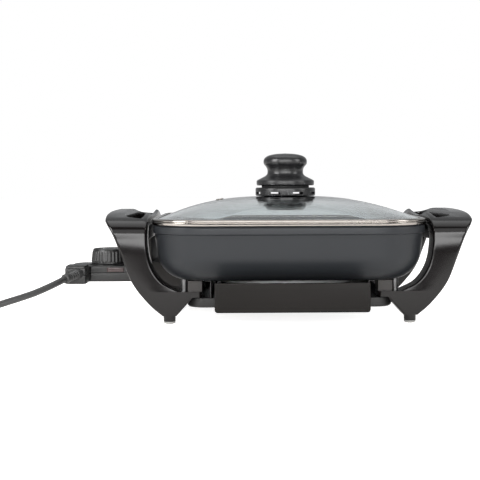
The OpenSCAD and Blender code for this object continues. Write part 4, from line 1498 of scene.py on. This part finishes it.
@dataclass(frozen=True)
class Lead:
    """The lead with its strain relief and plug."""

    thick: float = 7.0
    relief_root: Point3 = (-230, -54, 49.5)
    points: tuple[Point3, ...] = (
        (-242, -80, 45.5), (-248, -94, 42.6), (-257, -107, 38.6), (-267, -121, 34.8),
        (-279, -136, 31.4), (-292, -149, 28), (-306, -160, 23.5), (-320, -167.6, 18),
        (-334, -172.3, 12.5), (-347, -174.6, 8), (-360, -175, 5),
    )
    coil_centre: Point2 = (-382.0, -127.0)
    coil_pitch: float = 8.5
    coil_r: float = 48.0
    coil_z: float = 3.8
    turns_in: float = 1.5
    turns_climb: float = 0.5
    turns_out: float = 1.25
    plug_z: float = 11.3
    blade_x: float = 6.35
    blade_half: Point2 = (0.72, 3.1)
    grooves: int = 5

    def relief_place(self) -> Matrix:
        """The strain relief's axis, out of the tail's front."""
        root, tip = Vector(self.relief_root), Vector(self.points[0])
        return Matrix.Translation(root) @ (tip - root).to_track_quat("Z", "Y").to_matrix().to_4x4()

    def coil_point(self, t: float) -> Vector:
        """A point of the coil.

        Args:
            t: How many turns along it.

        Returns:
            The point.
        """
        climb = min(1.0, max(0.0, (t - self.turns_in) / self.turns_climb))
        inward = min(t, self.turns_in) - max(0.0, t - self.turns_in - self.turns_climb)
        r = self.coil_r - self.coil_pitch * inward
        a = math.radians(-90 - 360 * t)
        x, y = self.coil_centre
        return Vector((x + r * math.cos(a), y + r * math.sin(a),
                       self.coil_z + self.coil_pitch * climb))

    def path(self) -> list[Vector]:
        """The lead's centreline, from the strain relief to the plug.

        Returns:
            Its points.
        """
        turns = self.turns_in + self.turns_climb + self.turns_out
        coil = [self.coil_point(turns * k / 156) for k in range(157)]
        start = coil[0] + Vector((7, 0, 0))
        way_out = coil[-1] + Vector((0, 7, 0))
        end = Vector((way_out.x, way_out.y + 32, self.plug_z))
        free = smooth_path([*self.points, tuple(start)], 3)
        return free + coil + [way_out.lerp(end, k / 5) for k in range(6)]

    def grip(self, place: Matrix) -> Shape:
        """The plug's body with its ribbed neck.

        Args:
            place: The plug's place, with the lead's end at its origin.

        Returns:
            The shape.
        """
        neck = [(0.3, 0.0), (4.2, 0.0)]
        for k in range(self.grooves):
            z, r = 1.5 + 2.6 * k, 4.4 + 0.28 * k
            neck += [(r, z - 0.7), (r, z + 0.6), (r - 0.6, z + 0.8), (r - 0.6, z + 1.7)]
        neck += [(5.8, 14.6), (6.0, 15.8), (0.3, 15.8)]
        return Shape().turned(neck, 0.25, 2, 40, place, closed=False).prism(
            lambda inset: box_outline((-13, -11), (13, 11), inset, 5, 6), 15.2, 41, 1.6, place,
            low_r=3.5, steps=5)

    def relief(self) -> Shape:
        """The grooved strain relief.

        Returns:
            The shape.
        """
        reach = (Vector(self.points[0]) - Vector(self.relief_root)).length
        side = [(0.3, -6), (5.0, -6), (5.0, 3.6)]
        for k in range(self.grooves):
            z, r = 5.0 + 3.6 * k, 4.95 - 0.1 * k
            side += [(r, z), (r, z + 2.2), (r - 0.9, z + 2.5), (r - 0.9, z + 3.3)]
        side += [(4.9, reach - 6.2), (5.2, reach - 5.4), (5.2, reach - 1.2), (4.4, reach - 0.2),
                 (0.3, reach - 0.2)]
        return Shape().turned(side, 0.25, 2, 48, self.relief_place(), closed=False)

    def build(self, dresser: Dresser) -> None:
        """Args:
            dresser: Places the pieces.
        """
        path = self.path()
        row = in_frame([tuple(p) for p in path])
        lead = dresser.tube("lead", row, self.thick / 1000, 20, Body.CONTROL, "cord_sheath",
                            ["cord_free", "cord_coil"])
        place = (Matrix.Translation(path[-1] + Vector((0, 0.1, 0)))
                 @ Matrix.Rotation(-math.pi / 2, 4, "X"))
        plug = dresser.piece("plug_grip", self.grip(place), Body.CONTROL, "plug_plastic",
                             ["plug_body"])
        pins = Shape()
        thin, wide = self.blade_half
        for x in (-self.blade_x, self.blade_x):
            pins.block((x - thin, -wide, 40.9), (x + thin, wide, 58.0), 0.5, place)
        blades = dresser.piece("plug_pins", pins, Body.CONTROL, "brass", ["plug_blades"])
        dresser.piece("relief_boot", self.relief(), Body.CONTROL, "cord_sheath", ["strain_relief"])


# The control's opening for the strain relief follows the lead's first point.
LEAD = Lead()


@dataclass(frozen=True)
class Lamp:
    """A soft lamp.

    Attributes:
        name: Its name.
        place: Where it hangs.
        aim: The point that it faces.
        size: Its width and height.
        watts: Its power.
        mirrored: Whether it shows in glossy surfaces.
    """

    name: str
    place: Point3
    aim: Point3
    size: Point2
    watts: float
    mirrored: bool = True

    def hang(self) -> None:
        """Adds the lamp to the scene."""
        data = bpy.data.lights.new(self.name, "AREA")
        data.shape = "RECTANGLE"
        data.size, data.size_y = self.size
        data.energy = self.watts
        lamp = new_object(self.name, data)
        lamp.location = self.place
        lamp.visible_glossy = self.mirrored
        way = Vector(self.aim) - Vector(self.place)
        lamp.rotation_euler = way.to_track_quat("-Z", "Y").to_euler()


@dataclass(frozen=True)
class Stage:
    """Camera, background, floor and lamps, in metres and degrees.

    Attributes:
        lens: The camera's focal length, for a sensor of 36 mm.
        shift: How far the frame is moved onto the object.
        eye: The camera's place.
        turn: The camera's turn about X, Y and Z.
        air: The background's tint.
        rear_start, rear_end: Where between front and rear the background grows bright.
        dark, bright: Its strength in front and at the rear.
        mirror_change: What glossy surfaces see less or more of it, as a share.
        floor_color: The floor's colour.
        floor_front, floor_rear, floor_side: The floor's edges.
        glow, camera_glow: The floor's own light, and what the camera sees on top of it.
        lamps: Soft boxes at the sides, over the object and over the camera, and two low ones
            in front.
    """

    lens: float = 77.6
    shift: Point2 = (-0.0437, -0.125)
    eye: Point3 = (-0.02905, -1.1919, 0.1518)
    turn: Point3 = (90, 0.18, -1.2)
    air: Point3 = (0.96, 0.98, 1.0)
    rear_start: float = -0.35
    rear_end: float = 0.55
    dark: float = 0.10
    bright: float = 0.80
    mirror_change: float = -0.42
    floor_color: Point3 = (0.80, 0.78, 0.76)
    floor_front: float = -0.72
    floor_rear: float = 7.0
    floor_side: float = 5.0
    glow: float = 0.36
    camera_glow: float = 0.46
    lamps: tuple[Lamp, ...] = (
        Lamp("left_box", (-1.35, -0.75, 0.75), (0, 0, 0.1), (0.7, 1.1), 27),
        Lamp("right_box", (1.45, -0.65, 0.7), (0, 0, 0.1), (0.6, 1.0), 11),
        Lamp("top_box", (0.1, 0.35, 1.7), (0, 0, 0.1), (1.8, 1.4), 9),
        Lamp("high_front", (0.0, -1.5, 1.35), (0, -0.1, 0.1), (2.2, 1.2), 12),
        Lamp("band_front", (0.0, -1.5, 0.40), (0.0, -0.1, 0.1), (2.0, 0.4), 21),
        Lamp("low_front", (0.05, -1.5, 0.22), (0.0, -0.1, 0.06), (1.6, 0.3), 17, mirrored=False),
    )

    def make_camera(self) -> None:
        """The camera at the photograph's place, with its frame moved onto the object."""
        data = bpy.data.cameras.new("camera")
        data.lens = self.lens
        data.sensor_width = 36.0
        data.shift_x, data.shift_y = self.shift
        data.clip_start = 0.05
        camera = new_object("camera", data)
        camera.location = self.eye
        camera.rotation_euler = [math.radians(angle) for angle in self.turn]
        bpy.context.scene.camera = camera

    def make_world(self) -> None:
        """White behind everything for the camera; a bright rear and a dark front for the rest."""
        world = bpy.data.worlds.new("studio")
        bpy.context.scene.world = world
        world.use_nodes = True
        world.node_tree.nodes.clear()
        wiring = Wiring(world.node_tree)
        path = wiring.node("ShaderNodeLightPath").outputs
        seen = wiring.math("MAXIMUM", path["Is Camera Ray"], path["Is Transmission Ray"])
        white = wiring.node("ShaderNodeBackground", Color=(1, 1, 1, 1), Strength=1.0)
        way = wiring.node("ShaderNodeTexCoord").outputs["Generated"]
        axes = wiring.node("ShaderNodeSeparateXYZ", Vector=way)
        rear = wiring.node("ShaderNodeMapRange", setup={"interpolation_type": "SMOOTHSTEP"},
                           Value=axes.outputs["Y"], From_Min=self.rear_start,
                           From_Max=self.rear_end, To_Min=self.dark, To_Max=self.bright)
        share = wiring.math("MULTIPLY_ADD", path["Is Glossy Ray"], self.mirror_change, 1.0)
        level = wiring.math("MULTIPLY", rear.outputs["Result"], share)
        soft = wiring.node("ShaderNodeBackground", Color=(*self.air, 1), Strength=level)
        both = wiring.node("ShaderNodeMixShader", seen, soft.outputs["Background"],
                           white.outputs["Background"])
        wiring.node("ShaderNodeOutputWorld", Surface=both.outputs["Shader"])

    def make_floor(self) -> None:
        """A white floor, lifted to white for the camera, so that only the shadow stays."""
        side, front, rear = self.floor_side, self.floor_front, self.floor_rear
        mesh = bpy.data.meshes.new("floor")
        mesh.from_pydata([(-side, front, 0), (side, front, 0), (side, rear, 0), (-side, rear, 0)],
                         [], [[0, 1, 2, 3]])
        material = bpy.data.materials.new("floor")
        material.use_nodes = True
        material.node_tree.nodes.clear()
        wiring = Wiring(material.node_tree)
        matt = wiring.node("ShaderNodeBsdfDiffuse", Color=(*self.floor_color, 1))
        seen = wiring.node("ShaderNodeLightPath").outputs["Is Camera Ray"]
        level = wiring.math("MULTIPLY_ADD", seen, self.camera_glow, self.glow)
        glow = wiring.node("ShaderNodeEmission", Color=(1, 1, 1, 1), Strength=level)
        both = wiring.node("ShaderNodeAddShader", matt.outputs["BSDF"], glow.outputs["Emission"])
        wiring.node("ShaderNodeOutputMaterial", Surface=both.outputs["Shader"])
        mesh.materials.append(material)
        new_object("floor", mesh)

    def build(self) -> None:
        """Makes everything round the object but the camera."""
        self.make_world()
        self.make_floor()
        for lamp in self.lamps:
            lamp.hang()
        bpy.context.scene.view_settings.view_transform = "Standard"


def main() -> None:
    """Builds the scene, part by part."""
    logging.basicConfig(level=logging.INFO, format="%(name)s %(message)s")
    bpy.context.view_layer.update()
    stage = Stage()
    stage.make_camera()
    dresser = Dresser()
    LEAD.build(dresser)
    dresser.dress_nodes()
    for part in (Pan(), Handles(), Feet(), Plate(), Tray(), Lid(), Knob(), Control(), Dial()):
        part.build(dresser)
        LOG.info("%s: done", type(part).__name__)
    stage.build()


if __name__ == "__main__":
    main()
